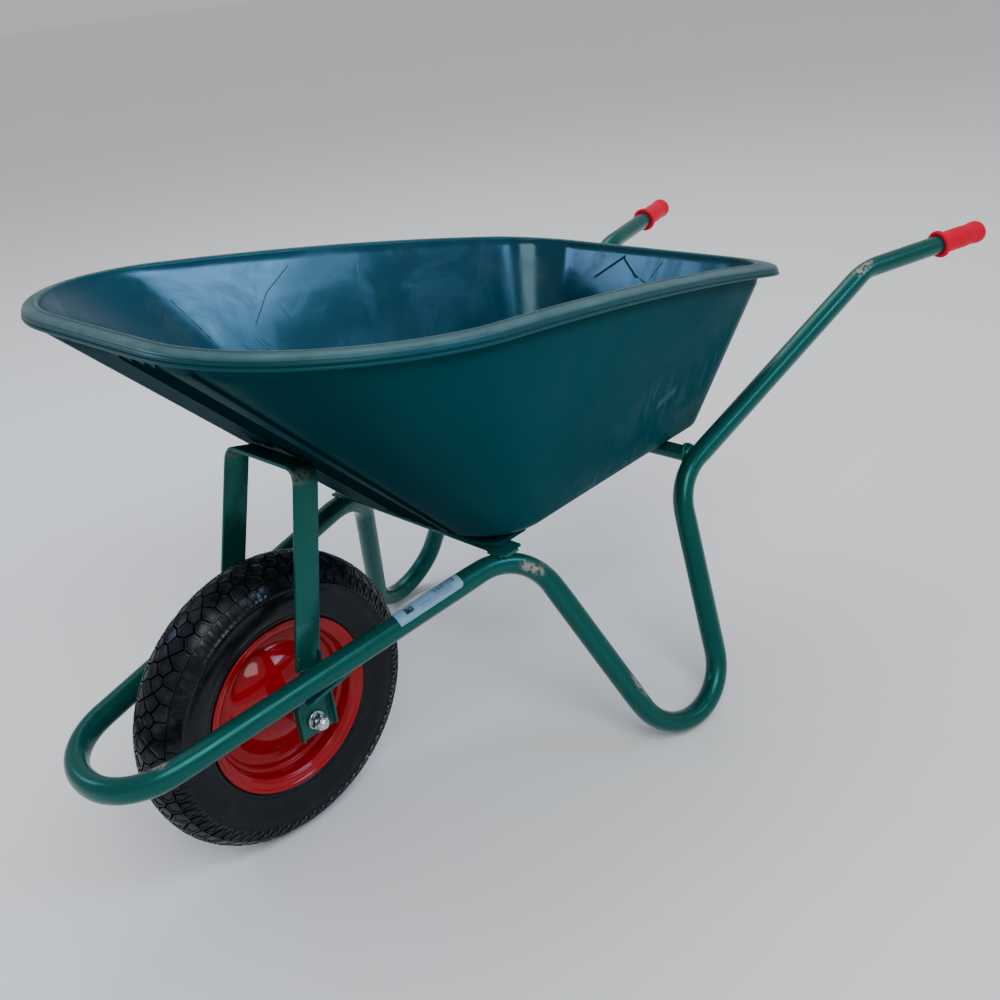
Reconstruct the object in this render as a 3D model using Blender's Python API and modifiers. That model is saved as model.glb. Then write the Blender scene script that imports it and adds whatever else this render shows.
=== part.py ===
"""A builder's wheelbarrow: bent-tube frame, plastic tray, and one pneumatic wheel.

Metres, +Z up. The wheel is at -X and the handles are at +X. The user stands behind the
handles and looks along -X, so the right-hand parts are at +Y and the left-hand ones at -Y.
Everything is laid out from the wheel's contact point; the ROOT empty then moves the
whole object so that the world's origin is under the middle of its box.
"""
import math

import bmesh
import bpy
from mathutils import Matrix, Vector

# ---- driving dimensions -------------------------------------------------------------
GAP = 0.0003                      # between two meshes that touch
SIDES = ((-1, "left"), (1, "right"))

# Frame tube: one length of round steel tube, bent at six pairs of corners. A corner is
# where the two straight runs' centre lines would cross, on the right-hand side.
TUBE_R = 0.016
TUBE_WALL = 0.0016
NOSE = Vector((-0.265, 0.0775, 0.236))
RAIL_TOP = Vector((0.318, 0.1755, 0.3315))
FOOT = Vector((0.490, 0.4235, -0.2215))
LEG_TOP = Vector((0.608, 0.2235, 0.320))
KNEE = Vector((1.091, 0.2745, 0.520))
HANDLE_END = Vector((1.363, 0.3495, 0.526))
BEND = {"nose": 0.088, "rail_top": 0.091, "foot": 0.081, "leg_top": 0.090, "knee": 0.090}

# Wheel
TYRE_R = 0.200
TYRE_HALF = 0.0445
RIM_R = 0.119
RIM_HALF = 0.0350
HUB_R = 0.0175
HUB_HALF = 0.060
HUB_WALL = 0.0025
BEARING_WIDTH = 0.010
VALVE_TURN = math.radians(125)
VALVE_STEM_R = 0.0040
VALVE_STEM_LENGTH = 0.036
VALVE_TIP_R = 0.0026
AXLE_R = 0.006
AXLE_HALF = 0.1100
AXLE_CHAMFER = 0.0012
SPACER_R = 0.0098
AXLE_WASHER_R = 0.0120
AXLE_WASHER_T = 0.0025
AXLE_NUT_R = 0.0110               # over its corners
AXLE_NUT_T = 0.0100

# Axle brackets: folded sheet, each with a plate, two side flanges, and a saddle
BRACKET_Y = 0.0850                # inner face of the plate
BRACKET_T = 0.0030
BRACKET_HALF_X = 0.026
BRACKET_BELOW_AXLE = 0.021
BRACKET_FLANGE = 0.014
BRACKET_SADDLE = 0.046
BRACKET_FOLD = 0.004
SADDLE_CLEAR = 0.0008             # between the saddle and the rail
SADDLE_FRONT = 0.004              # how far the saddle reaches past the plate
SADDLE_REAR = 0.012

# Hoop that carries the tray's front wall: flat strip bent to an upside-down U
STRIP_W = 0.036
STRIP_T = 0.005
HOOP_FOOT_Y = 0.0865
HOOP_TOP_Y = 0.0745
HOOP_FOOT = Vector((0.004, 0.0, 0.2730))
HOOP_LEAN = math.radians(13.5)
HOOP_HEIGHT = 0.2592
HOOP_BEND = 0.017

# Tray: the rim's outline and the floor's outline are rounded trapezoids seen from above
RIM_FRONT = -0.1195
RIM_REAR = 0.8795
RIM_HALF_FRONT = 0.3925
RIM_HALF_REAR = 0.2640
RIM_CORNER_FRONT = 0.246
RIM_CORNER_REAR = 0.119
RIM_Z = 0.7505                    # crown height above the axle
RIM_SLOPE = -0.160
RIM_ARCH = -0.073                 # how the crown arches along X
RIM_ARCH_MID = 0.35
LIP_HALF = 0.0130
LIP_DROP = 0.0175
REAR_LEDGE = 0.022
FLOOR_FRONT = 0.2550
FLOOR_REAR = 0.7440
FLOOR_HALF_FRONT = 0.1958
FLOOR_HALF_REAR = 0.1860
FLOOR_CORNER_FRONT = 0.0910
FLOOR_CORNER_REAR = 0.0600
FLOOR_Z = 0.3480                  # underside, above X = FLOOR_X0
FLOOR_SLOPE = 0.0120
FLOOR_X0 = 0.300
TRAY_T = 0.0040

# What the tray stands on, and its bolts
FOOT_PAD_X = 0.308                # moulded pad under the tray's floor
FOOT_PAD_LENGTH = 0.078
FOOT_PAD_HALF_Y = 0.1680
FOOT_PAD_T = 0.0058
BAR_X = 0.288
BAR_HALF_Y = 0.1860
BAR_W = 0.036
BAR_T = 0.005
CROSS_X = 0.655
CROSS_R = 0.0125
CROSS_HALF_Y = 0.2105
BOLT_X = 0.293                    # front pair; the rear pair goes through the cross tube
BOLT_Y = 0.100
BOLT_R = 0.004
BOLT_HEAD_R = 0.0088
BOLT_HEAD_T = 0.0042
TRAY_WASHER_R = 0.0125
TRAY_WASHER_T = 0.0016
TRAY_NUT_R = 0.0075
TRAY_NUT_T = 0.0065
PANEL_FRONT = 0.330               # flat panel in the floor, between the bolts
PANEL_REAR = 0.620
PANEL_HALF_Y = 0.150
PANEL_RISE = 0.0003
PANEL_EDGE = 0.003

GRIP_LENGTH = 0.108
LABEL_START = 0.112               # along X, on the left rail
LABEL_END = 0.212
LABEL_FROM = math.radians(22)     # round the rail, up from level
LABEL_TO = math.radians(114)
LABEL_T = 0.0003

COLOURS = {
    "frame_green": (0.004, 0.085, 0.066, 0.35, 0.0),
    "tray_teal": (0.006, 0.072, 0.080, 0.40, 0.0),
    "grip_red": (0.62, 0.012, 0.022, 0.35, 0.0),
    "rubber": (0.012, 0.012, 0.013, 0.75, 0.0),
    "rim_red": (0.55, 0.004, 0.006, 0.18, 0.0),
    "zinc": (0.62, 0.62, 0.60, 0.30, 1.0),
    "dark_steel": (0.20, 0.20, 0.20, 0.35, 1.0),
    "black_plastic": (0.015, 0.015, 0.016, 0.45, 0.0),
    "label_white": (0.62, 0.72, 0.86, 0.45, 0.0),
}

for old in list(bpy.data.objects):
    bpy.data.objects.remove(old, do_unlink=True)

PARTS = bpy.data.collections.new("wheelbarrow")
CUTTERS = bpy.data.collections.new("cutters")
for group in (PARTS, CUTTERS):
    bpy.context.scene.collection.children.link(group)


# ---- helpers ------------------------------------------------------------------------
def empty(name, location, parent=None):
    """A named frame that other objects hang from."""
    thing = bpy.data.objects.new(name, None)
    thing.location = location
    thing.parent = parent
    PARTS.objects.link(thing)
    return thing


def material(name):
    made = bpy.data.materials.get(name)
    if made:
        return made
    made = bpy.data.materials.new(name)
    made.use_nodes = True
    red, green, blue, roughness, metallic = COLOURS[name]
    shader = made.node_tree.nodes["Principled BSDF"]
    shader.inputs["Base Color"].default_value = (red, green, blue, 1.0)
    shader.inputs["Roughness"].default_value = roughness
    shader.inputs["Metallic"].default_value = metallic
    return made


def add(name, data, look, parent, location=(0, 0, 0), rotation=(0, 0, 0), group=PARTS):
    """Puts a mesh or curve in the scene under an empty."""
    thing = bpy.data.objects.new(name, data)
    thing.location = location
    thing.rotation_euler = rotation
    thing.parent = parent
    if look:
        data.materials.append(material(look))
    group.objects.link(thing)
    return thing


def side_of(corner, side):
    """A right-hand point, or its mirror image on the left."""
    return Vector((corner.x, side * corner.y, corner.z))


def rounded(corners, radii, steps):
    """An open run of straights and arcs. radii and steps are for the inner corners."""
    run = [corners[0]]
    for before, corner, after, radius, count in zip(
        corners, corners[1:], corners[2:], radii, steps
    ):
        back = (before - corner).normalized()
        ahead = (after - corner).normalized()
        half = back.angle(ahead) / 2
        centre = corner + (back + ahead).normalized() * (radius / math.sin(half))
        first = corner + back * (radius / math.tan(half))
        arm = first - centre
        across = back * -radius
        sweep = math.pi - 2 * half
        for k in range(count + 1):
            turn = sweep * k / count
            run.append(centre + arm * math.cos(turn) + across * math.sin(turn))
    run.append(corners[-1])
    return run


def poly_curve(name, points, radius, sides, capped):
    """A curve along the points with a round section."""
    data = bpy.data.curves.new(name, "CURVE")
    data.dimensions = "3D"
    data.bevel_depth = radius
    data.bevel_resolution = (sides - 4) // 2
    data.use_fill_caps = capped
    spline = data.splines.new("POLY")
    spline.points.add(len(points) - 1)
    for slot, point in zip(spline.points, points):
        slot.co = (*point, 1.0)
    return data


def as_mesh(name, data):
    """The mesh that a curve draws, with its loose caps welded."""
    guide = bpy.data.objects.new(name + "_guide", data)
    CUTTERS.objects.link(guide)
    bpy.context.view_layer.update()
    graph = bpy.context.evaluated_depsgraph_get()
    mesh = bpy.data.meshes.new_from_object(guide.evaluated_get(graph))
    mesh.name = name
    bpy.data.objects.remove(guide, do_unlink=True)
    work = bmesh.new()
    work.from_mesh(mesh)
    bmesh.ops.remove_doubles(work, verts=work.verts, dist=0.00005)
    work.to_mesh(mesh)
    work.free()
    mesh.materials.clear()
    return mesh


def hollow_tube(name, points, radius, wall, sides, look, parent):
    """An open-ended tube with a wall."""
    mesh = as_mesh(name, poly_curve(name, points, radius, sides, capped=False))
    mesh.shade_smooth()
    thing = add(name, mesh, look, parent)
    shell = thing.modifiers.new("wall", "SOLIDIFY")
    shell.thickness = wall
    shell.offset = -1
    shell.use_even_offset = True
    return thing


def turned(name, profile, look, parent, location, axis, steps=32, closed=True):
    """A profile of (radius, height) points spun about an axis of the object."""
    work = bmesh.new()
    verts = [work.verts.new((radius, 0.0, height)) for radius, height in profile]
    for a, b in zip(verts, verts[1:]):
        work.edges.new((a, b))
    if closed:
        work.edges.new((verts[-1], verts[0]))
    mesh = bpy.data.meshes.new(name)
    work.to_mesh(mesh)
    work.free()
    thing = add(name, mesh, look, parent, location)
    thing.rotation_euler = Vector(axis).to_track_quat("Z", "Y").to_euler()
    spin = thing.modifiers.new("spin", "SCREW")
    spin.steps = steps
    spin.render_steps = steps
    spin.use_merge_vertices = True
    spin.merge_threshold = 0.00005
    spin.use_smooth_shade = True
    return thing


def ring(name, inner, outer, low, high, look, parent, location, axis, steps=32):
    """A plain ring or collar between two heights."""
    profile = [(outer, high), (outer, low), (inner, low), (inner, high)]
    return turned(name, profile, look, parent, location, axis, steps)


def circle(radius, count, start=0.0):
    """Points of a regular polygon in the XY plane."""
    angles = [start + math.tau * k / count for k in range(count)]
    return [Vector((radius * math.cos(a), radius * math.sin(a), 0)) for a in angles]


def plate(name, outlines, thickness, look, parent, location, rotation=(0, 0, 0)):
    """Flat outlines, the first one solid and the rest holes, given a thickness."""
    data = bpy.data.curves.new(name, "CURVE")
    data.dimensions = "2D"
    data.fill_mode = "BOTH"
    data.extrude = thickness / 2
    for outline in outlines:
        spline = data.splines.new("POLY")
        spline.points.add(len(outline) - 1)
        spline.use_cyclic_u = True
        for slot, point in zip(spline.points, outline):
            slot.co = (point.x, point.y, 0, 1)
    mesh = as_mesh(name, data)
    return add(name, mesh, look, parent, location, rotation)


def cut(target, name, radius, length, location, rotation=(0, 0, 0), parent=None):
    """Drills a round hole through the target."""
    work = bmesh.new()
    bmesh.ops.create_cone(
        work, cap_ends=True, segments=16, radius1=radius, radius2=radius, depth=length
    )
    mesh = bpy.data.meshes.new(name)
    work.to_mesh(mesh)
    work.free()
    tool = add(name, mesh, None, parent or target.parent, location, rotation, CUTTERS)
    tool.display_type = "WIRE"
    tool.hide_render = True
    drill = target.modifiers.new(name, "BOOLEAN")
    drill.operation = "DIFFERENCE"
    drill.solver = "EXACT"
    drill.object = tool


# ---- frame --------------------------------------------------------------------------
def frame_run():
    """The frame tube's centre line, from the left handle round the nose to the right."""
    half = [HANDLE_END, KNEE, LEG_TOP, FOOT, RAIL_TOP, NOSE]
    names = ["knee", "leg_top", "foot", "rail_top", "nose"]
    counts = [3, 4, 9, 5, 6]
    tip = (HANDLE_END - KNEE).normalized() * 0.006
    left = [side_of(corner, -1) for corner in half]
    right = [side_of(corner, 1) for corner in reversed(half)]
    left[0] -= side_of(tip, -1)
    right[-1] -= tip
    radii = [BEND[name] for name in names]
    return rounded(
        left + right, radii + radii[::-1], counts + counts[::-1]
    )


def rail_point(x, side):
    """The rail's centre at a distance along X, between the nose and the rail's top."""
    part = (x - NOSE.x) / (RAIL_TOP.x - NOSE.x)
    return side_of(NOSE.lerp(RAIL_TOP, part), side)


def make_frame_tube(root):
    return hollow_tube("frame_tube", frame_run(), TUBE_R, TUBE_WALL, 10, "frame_green",
                       root)


def make_hoop(root):
    """The flat strip's edge outline, extruded across by the strip's width."""
    foot = HOOP_FOOT_Y
    top = HOOP_TOP_Y
    high = HOOP_HEIGHT
    inner = STRIP_T / 2
    loops = []
    for offset, radius in ((inner, HOOP_BEND + inner), (-inner, HOOP_BEND - inner)):
        corners = [
            Vector((-foot - offset, 0, 0)),
            Vector((-top - offset, high + offset, 0)),
            Vector((top + offset, high + offset, 0)),
            Vector((foot + offset, 0, 0)),
        ]
        loops.append(rounded(corners, [radius, radius], [5, 5]))
    outline = loops[0] + loops[1][::-1]
    hoop = plate("hoop", [outline], STRIP_W, "frame_green", root, HOOP_FOOT)
    across = Vector((0, 1, 0))
    up = Vector((math.sin(HOOP_LEAN), 0, math.cos(HOOP_LEAN)))
    turn = Matrix((across, up, across.cross(up))).transposed()
    hoop.rotation_euler = turn.to_euler()


def make_axle_bracket(root, side, name):
    """Folded sheet: a plate the axle passes through, two stiffening flanges, and a
    saddle that lies along the underside of the rail."""
    front = -BRACKET_HALF_X
    rear = BRACKET_HALF_X
    low = TYRE_R - BRACKET_BELOW_AXLE
    under = rail_point(0, side).z - TUBE_R - BRACKET_T / 2 - SADDLE_CLEAR
    rise = (RAIL_TOP.z - NOSE.z) / (RAIL_TOP.x - NOSE.x)
    mid = BRACKET_Y + BRACKET_T / 2
    flange = mid + BRACKET_FLANGE
    saddle = mid + BRACKET_SADDLE
    far_front = front - SADDLE_FRONT
    far_rear = rear + SADDLE_REAR
    top_front = under + rise * far_front
    top_rear = under + rise * far_rear
    slope_front = top_front - 0.014
    slope_rear = top_rear - 0.018

    def at(x, y, z):
        return work.verts.new((x, side * y, z))

    work = bmesh.new()
    plate_corners = [
        at(front, mid, low), at(rear, mid, low), at(rear, mid, slope_rear),
        at(far_rear, mid, top_rear), at(far_front, mid, top_front),
        at(front, mid, slope_front),
    ]
    lo_front, lo_rear, hi_rear, t_rear, t_front, hi_front = plate_corners
    work.faces.new(plate_corners)
    work.faces.new([t_front, t_rear, at(far_rear, saddle, top_rear),
                    at(far_front, saddle, top_front)])
    work.faces.new([lo_front, hi_front,
                    at(front, flange, slope_front - 2 * BRACKET_FOLD),
                    at(front, flange, low + BRACKET_FOLD)])
    work.faces.new([hi_rear, lo_rear, at(rear, flange, low + BRACKET_FOLD),
                    at(rear, flange, slope_rear - 2 * BRACKET_FOLD)])
    bmesh.ops.recalc_face_normals(work, faces=work.faces)
    mesh = bpy.data.meshes.new("axle_bracket_" + name)
    work.to_mesh(mesh)
    work.free()
    bracket = add("axle_bracket_" + name, mesh, "frame_green", root)
    shell = bracket.modifiers.new("sheet", "SOLIDIFY")
    shell.thickness = BRACKET_T
    shell.offset = 0
    shell.solidify_mode = "NON_MANIFOLD"
    shell.nonmanifold_thickness_mode = "CONSTRAINTS"
    shell.nonmanifold_merge_threshold = 0.00005
    cut(bracket, "axle_hole_" + name, AXLE_R + GAP, 0.02,
        (0, side * mid, TYRE_R), (math.pi / 2, 0, 0))


def floor_frame(x, y, above):
    """A point above the tray floor's underside, measured square to the floor."""
    tilt = math.atan(FLOOR_SLOPE)
    level = FLOOR_Z + FLOOR_SLOPE * (x - FLOOR_X0)
    return Vector((x - above * math.sin(tilt), y, level + above * math.cos(tilt)))


FLOOR_TURN = (0, -math.atan(FLOOR_SLOPE), 0)


def block(name, size, bevel, look, parent, location, rotation):
    """A box with chamfered edges."""
    work = bmesh.new()
    bmesh.ops.create_cube(work, size=1.0)
    bmesh.ops.transform(work, matrix=Matrix.Diagonal((*size, 1)), verts=work.verts)
    mesh = bpy.data.meshes.new(name)
    work.to_mesh(mesh)
    work.free()
    thing = add(name, mesh, look, parent, location, rotation)
    edge = thing.modifiers.new("edge", "BEVEL")
    edge.width = bevel
    edge.segments = 1
    return thing


def make_cross_members(root):
    """A flat bar over the rails' tops, a moulded pad between it and the tray, and a
    round tube between the legs' tops."""
    pad_at = floor_frame(FOOT_PAD_X, 0, -GAP - FOOT_PAD_T / 2)
    pad_size = (FOOT_PAD_LENGTH, 2 * FOOT_PAD_HALF_Y, FOOT_PAD_T)
    pad = block("tray_foot_pad", pad_size, 0.002, "tray_teal", root, pad_at, FLOOR_TURN)
    at = floor_frame(BAR_X, 0, -2 * GAP - FOOT_PAD_T - BAR_T / 2)
    bar = block("front_cross_member", (BAR_W, 2 * BAR_HALF_Y, BAR_T), 0.0015,
                "frame_green", root, at, FLOOR_TURN)
    centre = floor_frame(CROSS_X, 0, -GAP - CROSS_R)
    reach = Vector((0, CROSS_HALF_Y, 0))
    tube = hollow_tube("rear_cross_tube", [centre - reach, centre + reach],
                       CROSS_R, TUBE_WALL, 12, "frame_green", root)
    for side, name in SIDES:
        for member, x in ((pad, BOLT_X), (bar, BOLT_X), (tube, CROSS_X)):
            hole = floor_frame(x, side * BOLT_Y, -0.012)
            cut(member, f"{member.name}_hole_{name}", BOLT_R + GAP, 0.08, hole, FLOOR_TURN,
                root)


def make_grip(root, side, name):
    """A soft sleeve with a flange, closed at its end, over the handle's tip."""
    end = side_of(HANDLE_END, side)
    along = (end - side_of(KNEE, side)).normalized()
    bore = TUBE_R + GAP
    profile = [
        (0.0, GRIP_LENGTH), (0.0120, GRIP_LENGTH - 0.0004), (0.0172, GRIP_LENGTH - 0.0035),
        (0.0196, GRIP_LENGTH - 0.0095), (0.0198, GRIP_LENGTH - 0.022),
        (0.0186, 0.045), (0.0188, 0.012), (0.0205, 0.0095), (0.0238, 0.0080),
        (0.0240, 0.0035), (0.0225, 0.0008), (bore + 0.001, 0.0), (bore, 0.001),
        (bore, GRIP_LENGTH - 0.0055), (0.0, GRIP_LENGTH - 0.0055),
    ]
    start = end - along * (GRIP_LENGTH - 0.0005)
    turned("grip_" + name, profile, "grip_red", root, start, along, 20, closed=False)


# ---- tray ---------------------------------------------------------------------------
def trapezoid(front, rear, half_front, half_rear, corner_front, corner_rear):
    """A rounded trapezoid as a closed ring of points, the same count for any size."""
    corners = [
        Vector((rear, 0, 0)), Vector((rear, half_rear, 0)),
        Vector((front, half_front, 0)), Vector((front, -half_front, 0)),
        Vector((rear, -half_rear, 0)), Vector((rear, 0, 0)),
    ]
    radii = [corner_rear, corner_front, corner_front, corner_rear]
    run = rounded(corners, radii, [6, 6, 6, 6])[:-1]
    middle = len(run) // 2
    front_mid = (run[middle] + run[middle + 1]) / 2
    return run[: middle + 1] + [front_mid] + run[middle + 1 :]


def rim_ring(offset, drop, inset_rear=0.0):
    """The rim's outline, moved out by offset and down by drop from the crown."""
    ring_points = trapezoid(
        RIM_FRONT - offset, RIM_REAR + offset - inset_rear,
        RIM_HALF_FRONT + offset, RIM_HALF_REAR + offset,
        RIM_CORNER_FRONT + offset, RIM_CORNER_REAR + offset,
    )
    for point in ring_points:
        level = RIM_Z + RIM_SLOPE * point.x + RIM_ARCH * (point.x - RIM_ARCH_MID) ** 2
        point.z = level - drop
    return ring_points


def floor_ring(inset, height):
    """The floor's outline, moved in by inset, at a height above the underside."""
    ring_points = trapezoid(
        FLOOR_FRONT + inset, FLOOR_REAR - inset,
        FLOOR_HALF_FRONT - inset, FLOOR_HALF_REAR - inset,
        FLOOR_CORNER_FRONT - inset, FLOOR_CORNER_REAR - inset,
    )
    for point in ring_points:
        point.z = FLOOR_Z + FLOOR_SLOPE * (point.x - FLOOR_X0) + height
    return ring_points


def between(low, high, part):
    return [a.lerp(b, part) for a, b in zip(low, high)]


def raise_floor_panel(work, floor):
    """Cuts a rectangle out of the floor's flat face and lifts it by a hair, so that the
    panel the load rests on is one plain face, clear of the bolts."""
    flat = [floor]
    for place, normal in (
        ((PANEL_FRONT, 0, 0), (1, 0, 0)), ((PANEL_REAR, 0, 0), (1, 0, 0)),
        ((0, -PANEL_HALF_Y, 0), (0, 1, 0)), ((0, PANEL_HALF_Y, 0), (0, 1, 0)),
    ):
        parts = set(flat)
        for face in flat:
            parts.update(face.edges)
        done = bmesh.ops.bisect_plane(work, geom=list(parts), plane_co=place,
                                      plane_no=normal)
        flat = [part for part in done["geom"] if isinstance(part, bmesh.types.BMFace)]
    middle = Vector(((PANEL_FRONT + PANEL_REAR) / 2, 0, FLOOR_Z))
    panel = min(flat, key=lambda face: (face.calc_center_median() - middle).length)
    bmesh.ops.inset_region(work, faces=[panel], thickness=PANEL_EDGE, depth=PANEL_RISE)


def make_tray(root):
    """The tray's inner and upper surface, with its wall added outside and below it."""
    foot = floor_ring(TRAY_T, TRAY_T)
    wall_top = rim_ring(-LIP_HALF + 0.002, 0.030, REAR_LEDGE)
    rings = [
        floor_ring(TRAY_T + 0.018, TRAY_T),
        between(floor_ring(TRAY_T + 0.009, TRAY_T + 0.002), wall_top, 0.012),
        between(foot, wall_top, 0.055),
        between(foot, wall_top, 0.5),
        wall_top,
        rim_ring(-LIP_HALF + 0.0025, 0.005),
        rim_ring(-LIP_HALF + 0.0060, 0.001),
        rim_ring(0.0, 0.0),
        rim_ring(LIP_HALF - 0.0050, 0.001),
        rim_ring(LIP_HALF - 0.0010, 0.005),
        rim_ring(LIP_HALF, LIP_DROP),
    ]
    work = bmesh.new()
    loops = [[work.verts.new(point) for point in points] for points in rings]
    floor = work.faces.new(loops[0])
    for low, high in zip(loops, loops[1:]):
        for k in range(len(low)):
            n = (k + 1) % len(low)
            work.faces.new((low[k], low[n], high[n], high[k]))
    work.normal_update()
    if floor.normal.z < 0:
        bmesh.ops.reverse_faces(work, faces=[floor])
    bmesh.ops.recalc_face_normals(work, faces=work.faces)
    if floor.normal.z < 0:
        bmesh.ops.reverse_faces(work, faces=work.faces)
    raise_floor_panel(work, floor)
    mesh = bpy.data.meshes.new("tray")
    work.to_mesh(mesh)
    work.free()
    mesh.shade_smooth()
    tray = add("tray", mesh, "tray_teal", root)
    shell = tray.modifiers.new("wall", "SOLIDIFY")
    shell.thickness = TRAY_T
    shell.offset = -1
    shell.use_even_offset = True
    for side, name in SIDES:
        for place, x in (("front", BOLT_X), ("rear", CROSS_X)):
            hole = floor_frame(x, side * BOLT_Y, 0)
            cut(tray, f"tray_hole_{place}_{name}", BOLT_R + GAP, 0.03, hole, FLOOR_TURN)


def make_tray_bolts(root):
    """Dome-head bolts with big washers inside the tray, and nuts under the frame."""
    up = floor_frame(0, 0, 1) - floor_frame(0, 0, 0)
    top = TRAY_T + GAP
    seat = top + TRAY_WASHER_T + GAP
    for side, name in SIDES:
        for place, x, depth in (
            ("front", BOLT_X, FOOT_PAD_T + GAP + BAR_T), ("rear", CROSS_X, 2 * CROSS_R)
        ):
            tag = f"{place}_{name}"
            y = side * BOLT_Y
            ring("tray_washer_" + tag, BOLT_R + GAP, TRAY_WASHER_R, 0, TRAY_WASHER_T,
                 "zinc", root, floor_frame(x, y, top), up, 20)
            nut_top = -depth - 2 * GAP
            tip = nut_top - TRAY_NUT_T - BOLT_R
            profile = [
                (0.0, seat + BOLT_HEAD_T), (BOLT_HEAD_R * 0.51, seat + BOLT_HEAD_T * 0.88),
                (BOLT_HEAD_R * 0.85, seat + BOLT_HEAD_T * 0.48), (BOLT_HEAD_R, seat),
                (BOLT_R, seat), (BOLT_R, tip + 0.001), (BOLT_R - 0.001, tip), (0.0, tip),
            ]
            turned("tray_bolt_" + tag, profile, "zinc", root,
                   floor_frame(x, y, 0), up, 16, closed=False)
            outlines = [circle(TRAY_NUT_R, 6), circle(BOLT_R + GAP, 16)]
            plate("tray_nut_" + tag, outlines, TRAY_NUT_T, "zinc", root,
                  floor_frame(x, y, nut_top - TRAY_NUT_T / 2), FLOOR_TURN)


# ---- wheel --------------------------------------------------------------------------
def mirrored(half):
    """Closes a symmetric profile: half runs down the outer side to the middle."""
    return half + [(radius, -height) for radius, height in reversed(half)]


def make_tyre(wheel):
    outer = [
        (0.1045, 0.0255), (0.1095, 0.0318), (0.1180, 0.0330), (0.1320, 0.0400),
        (0.1550, TYRE_HALF), (0.1730, 0.0420), (0.1860, 0.0335), (0.1955, 0.0205),
        (TYRE_R, 0.0060),
    ]
    inner = [
        (0.1045, 0.0190), (0.1180, 0.0225), (0.1350, 0.0335), (0.1580, 0.0380),
        (0.1750, 0.0335), (0.1860, 0.0180), (0.1885, 0.0060),
    ]
    profile = mirrored(outer) + mirrored(inner)[::-1]
    turned("tyre", profile, "rubber", wheel, (0, 0, 0), (0, 1, 0), 40)


def make_inner_tube(wheel):
    """Soft tube inside the tyre, slit at the rim so that its inside is open."""
    mid, slit, wall = 0.1490, 0.0015, 0.0020
    outer = [
        (0.1110, 0.0150), (0.1300, 0.0275), (0.1560, 0.0355), (0.1720, 0.0315),
        (0.1835, 0.0160),
    ]
    inner = []
    for radius, height in outer:
        reach = math.hypot(radius - mid, height)
        part = (reach - wall) / reach
        inner.append((mid + (radius - mid) * part, height * part))
    outer.insert(0, (0.1062, slit))
    inner.insert(0, (0.1082, slit))
    profile = mirrored(outer) + mirrored(inner)[::-1]
    turned("inner_tube", profile, "rubber", wheel, (0, 0, 0), (0, 1, 0), 24)


def make_rim_half(wheel, side, name):
    """One pressed half of the split rim: flange, barrel, flat seat, and domed centre.
    Heights are measured from the wheel's middle plane outward."""
    face = [
        (RIM_R, RIM_HALF + 0.0012), (0.1165, RIM_HALF + 0.0020),
        (0.1062, RIM_HALF - 0.0035), (0.1020, RIM_HALF - 0.0080), (0.1012, 0.0160),
        (0.0965, 0.0125), (0.0945, 0.0060), (0.0900, 0.0022), (0.0790, 0.0022),
        (0.0740, 0.0050), (0.0480, 0.0245), (0.0330, 0.0300), (HUB_R + GAP, 0.0320),
    ]
    back = [
        (HUB_R + GAP, 0.0300), (0.0322, 0.0280), (0.0470, 0.0226), (0.0728, 0.0033),
        (0.0790, GAP / 2), (0.0912, GAP / 2), (0.0962, 0.0048), (0.0982, 0.0112),
        (0.1032, 0.0150), (0.1036, 0.0262), (0.1046, RIM_HALF - 0.0052),
        (0.1080, RIM_HALF - 0.0022), (0.1160, RIM_HALF - 0.0002),
        (RIM_R, RIM_HALF - 0.0008),
    ]
    profile = (face + back)[::-1]
    return turned("rim_half_" + name, profile, "rim_red", wheel, (0, 0, 0),
                  (0, side, 0), 36)


def make_valve(wheel, rim):
    """Rubber valve stem through the right-hand half's barrel, with a screw cap."""
    outward = Vector((math.cos(VALVE_TURN), 0, math.sin(VALVE_TURN)))
    lean = (Vector((0, 0.42, 0)) - outward).normalized()
    root_point = outward * 0.1055 + Vector((0, 0.0120, 0))
    turn = lean.to_track_quat("Z", "Y").to_euler()
    hole_at = root_point + lean * 0.006
    cut(rim, "valve_hole", VALVE_STEM_R + 0.0005, 0.030, hole_at, turn, wheel)
    rim.modifiers.new("facets", "TRIANGULATE")
    stem = [
        (0.0, VALVE_STEM_LENGTH), (VALVE_TIP_R, VALVE_STEM_LENGTH), (VALVE_TIP_R, 0.026),
        (0.0036, 0.024), (VALVE_STEM_R, 0.001), (0.0, 0.001),
    ]
    turned("valve_stem", stem, "black_plastic", wheel, root_point, lean, 12, closed=False)
    bore = VALVE_TIP_R + GAP
    cap = [
        (0.0, 0.0390), (0.0030, 0.0386), (0.0042, 0.0372), (0.0042, 0.0275),
        (bore, 0.0275), (bore, 0.0364), (0.0, 0.0364),
    ]
    turned("valve_cap", cap, "black_plastic", wheel, root_point, lean, 12, closed=False)


def make_hub(wheel):
    """A plain tube with a bearing in each end."""
    bore = HUB_R - HUB_WALL
    ring("hub_tube", bore, HUB_R, -HUB_HALF, HUB_HALF, "rim_red", wheel, (0, 0, 0),
         (0, 1, 0), 32)
    for side, name in SIDES:
        ring("bearing_" + name, AXLE_R + GAP, bore - GAP, 0, BEARING_WIDTH, "dark_steel",
             wheel, (0, side * (HUB_HALF - BEARING_WIDTH), 0), (0, side, 0), 24)


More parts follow.
